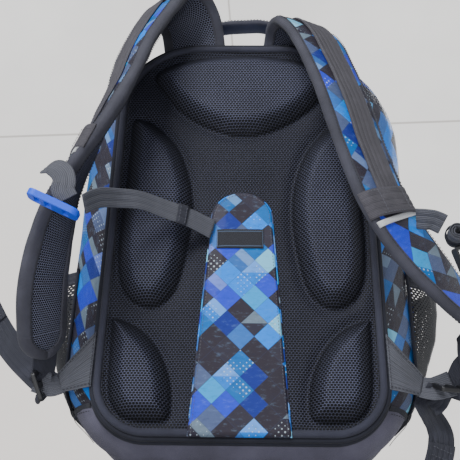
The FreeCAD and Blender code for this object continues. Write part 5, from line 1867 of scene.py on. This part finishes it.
# held at the root and in the zone of the zip
_, y, z = (np.array([v.co for v in pocket.data.vertices]) / MM).T
zip_zone = smooth01((z - 186) / 10.0) * smooth01((226 - z) / 10.0)
cloth_settle(pocket, 1.0 - smooth01((y - 101) / 8.0) * (1.0 - zip_zone))
solid(pocket, 1.6, lining=LINING)
place(pocket, "cover", "print_fabric", "front_pocket")
pocket = pillow("upper_pocket_cloth", UPPER_POCKET, depth=13.8, edge_r=7.0,
                bulge=upper_bulge, amp=1.0, seed=6)
solid(pocket, 1.4, lining=LINING)
place(pocket, "cover", "print_fabric", "upper_pocket")

# cords round the pockets: depth, growth of the outline, radius
for name, par, cords in (
        ("front_pocket_cords", FRONT_POCKET, [(100.8, 0.6, 2.0), (133.0, -2.2, 1.7)]),
        ("upper_pocket_cords", UPPER_POCKET, [(100.8, 0.6, 2.0)])):
    parts = [tube(outline(par, y, 420, out), r, PIPE, closed=True, seg=9)
             for y, out, r in cords]
    place(join(name, parts), "cover", "edge_binding")


def straight_zip(name, node, y, z, half):
    """Tape, teeth, stitches, folded lips and end tabs of a zip on a pocket's face."""
    n = 90
    line = np.stack([np.linspace(-half, half, n), np.full(n, y + 0.55), np.full(n, z)], 1)
    parts = [ribbon(line, TO_FRONT, 16.0, 1.0, ZIP_TAPE),
             coil(line + [0, 0.5, 0], np.tile(TO_FRONT, (n, 1)), UPWARD, half_width=2.3)]
    for dz in (-6.0, 6.0):
        parts.append(stitches(line + [0, 0.6, dz], TO_FRONT, THREAD_DARK, r=0.3))
    for dz in (-8.6, 8.6):
        parts.append(tube(line + [0, 0.3, dz], 1.7, PLAIN, seg=8, squash=(1.0, 1.3)))
    for side in (-1, 1):
        end = [(side * half, y + 1.2, z - 8.5), (side * half, y + 1.4, z),
               (side * half, y + 1.2, z + 8.5)]
        parts.append(ribbon(resample(end, n=8), TO_FRONT, 9.0, 1.4, PLAIN))
    place(join(name, parts), "cover", "edge_binding", node)


straight_zip("pocket_zip_teeth", "pocket_zip", y=137.7, z=208.0, half=88)
straight_zip("upper_zip_teeth", "upper_zip", y=113.7, z=322.0, half=60)

# ---- reflective tape across the front pocket
x, z = np.linspace(-76, 76, 80), np.full(80, 180.0)
line = np.stack([x, 137.5 + front_bulge(x, z) + 0.9, z], 1)
parts = [ribbon(line, TO_FRONT, 8.2, 1.0, REFLECTIVE)]
for dz in (-3.2, 3.2):
    parts.append(stitches(line + [0, 0.5, dz], TO_FRONT, THREAD_DARK, r=0.28))
place(join("front_reflector_tape", parts), "cover", "reflective", "front_reflector")

# ------------------------------------------------------------------ parts kept as CAD solids
# node, material, slot, bevel width
KEPT = [
    ("ladder_lock_left", BLACK, "black_plastic", 0.7),
    ("ladder_lock_right", BLACK, "black_plastic", 0.7),
    ("chest_clip", BLUE, "blue_plastic", 0.0), ("chest_socket", BLACK, "black_plastic", 0.5),
    ("main_slider_left", METAL, "zip_metal", 0.3),
    ("main_slider_right", METAL, "zip_metal", 0.3),
    ("main_pull_left", METAL, "zip_metal", 0.25),
    ("main_pull_right", METAL, "zip_metal", 0.25),
    ("pocket_slider", METAL, "zip_metal", 0.3), ("pocket_pull", METAL, "zip_metal", 0.25),
    ("upper_slider", METAL, "zip_metal", 0.3), ("upper_pull", METAL, "zip_metal", 0.25),
    ("frame_sheet", BOARD, "board", 0.0), ("base_board", BOARD, "board", 0.0),
    ("divider_panel", LINING, "plain_fabric", 1.2)]
for node, material, slot, bevel_width in KEPT:
    o = NODES[node]
    o.data.materials.clear()
    o.data.materials.append(material)
    if len(o.data.uv_layers) == 0:
        o.data.uv_layers.new(name="UVMap")
    else:
        o.data.uv_layers[0].name = "UVMap"
    if bevel_width:
        bevel(o, bevel_width)


# ------------------------------------------------------------------ camera
def add_camera():
    """Looks up at the back panel from the -Y side, slightly rolled."""
    turn, rise, roll = math.radians(1.5), math.radians(25), math.radians(1.0)
    target, distance = np.array([-11.0, -95.0, 215.0]), 950.0
    back = np.array([math.sin(turn) * math.cos(rise), -math.cos(turn) * math.cos(rise),
                     -math.sin(rise)])
    level = unit(np.cross(-back, UPWARD))
    up = np.cross(level, -back)
    right = level * math.cos(roll) + up * math.sin(roll)
    up = -level * math.sin(roll) + up * math.cos(roll)
    data = bpy.data.cameras.new("cam")
    cam = bpy.data.objects.new("cam", data)
    bpy.context.scene.collection.objects.link(cam)
    at = (target + back * distance) * MM
    cam.matrix_world = Matrix([(right[k], up[k], back[k], at[k]) for k in range(3)]
                              + [(0, 0, 0, 1)])
    data.lens = 80.14
    data.sensor_width = 36.0
    data.clip_start, data.clip_end = 0.02, 60
    bpy.context.scene.camera = cam


add_camera()


# ------------------------------------------------------------------ backdrop and floor
def plane(name, location, upright, material):
    """A square sheet, flat or standing across Y."""
    half = 3.0
    corners = [(-half, -half), (half, -half), (half, half), (-half, half)]
    me = bpy.data.meshes.new(name)
    me.from_pydata([(a, 0, b) if upright else (a, b, 0) for a, b in corners], [],
                   [(0, 1, 2, 3)])
    me.materials.append(material)
    o = bpy.data.objects.new(name, me)
    bpy.context.scene.collection.objects.link(o)
    o.location = location
    return o


def backdrop_material():
    """Glowing tiles, seen only by a camera that looks up; clear from elsewhere."""
    M = Shader("tile_backdrop")
    looks_up = M.math("LESS_THAN", M.split(M.geometry("Incoming"))[2], -0.19)
    pos = M.position()
    x, _, z = M.split(pos)
    tone = M.noise(pos, scale=3.0, detail=4.0, rough=0.6)
    speck = M.noise(pos, scale=220.0, detail=3.0, rough=0.6)
    colour = M.mix(M.step(tone, lo=0.35, hi=0.7), lin(206, 205, 204), lin(217, 216, 214))
    # painted shade: the tiles turn darker and warmer towards the lower left
    fade = M.step(M.add(z, M.mul(x, 0.5)), lo=-0.30, hi=0.25)
    colour = M.mix(fade, M.mix(0.6, colour, lin(206, 199, 194)), colour)
    # one slightly sloping joint, and another that rises from it
    joint_z = 0.2604
    height = M.add(z, M.mul(x, -0.045))
    level = M.joint(height, at=joint_z, half=0.0010)
    aside = M.add(x, M.mul(z, 0.09))
    rising = M.mul(M.joint(aside, at=0.0162, half=0.0008),
                   M.math("GREATER_THAN", height, joint_z))
    colour = M.mix(M.mul(M.math("MAXIMUM", level, rising), 0.70), colour, lin(152, 148, 144))
    colour = M.mix(M.mul(M.step(speck, lo=0.66, hi=0.8), 0.05), colour, lin(150, 150, 148))
    glow = M.wired("ShaderNodeEmission", {"Color": colour, "Strength": 2.12})
    M.surface(looks_up, M.clear(), glow)
    return M.m


def floor_material():
    """Square tiles, clear from below."""
    tile = 0.6
    M = Shader("floor_tile", rough=0.35, spec=0.4)
    pos = M.position()
    x, y, _ = M.split(pos)
    tone = M.noise(pos, scale=3.0, detail=4.0, rough=0.6)
    joints = [M.joint(M.math("FLOORED_MODULO", M.add(coord, shift), tile), at=tile / 2,
                      half=0.0016, soft=0.0012) for coord, shift in ((x, 0.13), (y, 0.05))]
    colour = M.mix(M.step(tone, lo=0.35, hi=0.7), lin(200, 199, 198), lin(214, 213, 211))
    colour = M.mix(M.mul(M.math("MAXIMUM", *joints), 0.7), colour, lin(150, 150, 148))
    M.surface(M.geometry("Backfacing"), M.b.outputs[0], M.clear())
    return M.finish(colour)


backdrop = plane("backdrop", (0, 0.16, 0.215), True, backdrop_material())
for ray in ("diffuse", "glossy", "transmission", "volume_scatter", "shadow"):
    setattr(backdrop, "visible_" + ray, False)
floor = plane("floor", (0, 0, -0.0004), False, floor_material())
floor.visible_shadow = False

# ------------------------------------------------------------------ light
world = bpy.data.worlds.new("sky")
bpy.context.scene.world = world
world.use_nodes = True
sky = world.node_tree.nodes["Background"]
sky.inputs["Color"].default_value = (0.92, 0.95, 1.0, 1)
sky.inputs["Strength"].default_value = 0.30


def area(name, location, target, size, power, colour):
    data = bpy.data.lights.new(name, "AREA")
    data.size = size
    data.energy = power
    data.color = colour
    o = bpy.data.objects.new(name, data)
    bpy.context.scene.collection.objects.link(o)
    o.location = location
    aim = Vector(target) - Vector(location)
    o.rotation_euler = aim.to_track_quat("-Z", "Y").to_euler()
    o.visible_camera = False


area("key_left_top", location=(-0.60, -1.40, 1.20), target=(0, -0.05, 0.22), size=0.8,
     power=40, colour=(0.97, 0.985, 1.0))
area("fill_front", location=(-0.2, -1.7, -0.55), target=(0, 0, 0.15), size=1.3,
     power=17, colour=(0.93, 0.96, 1.0))
area("back_fill", location=(0.5, 1.7, 1.1), target=(0, 0.1, 0.22), size=1.3,
     power=40, colour=(0.97, 0.98, 1.0))
area("side_fill", location=(1.9, 0.5, 0.8), target=(0, 0, 0.2), size=1.2,
     power=9, colour=(0.97, 0.98, 1.0))
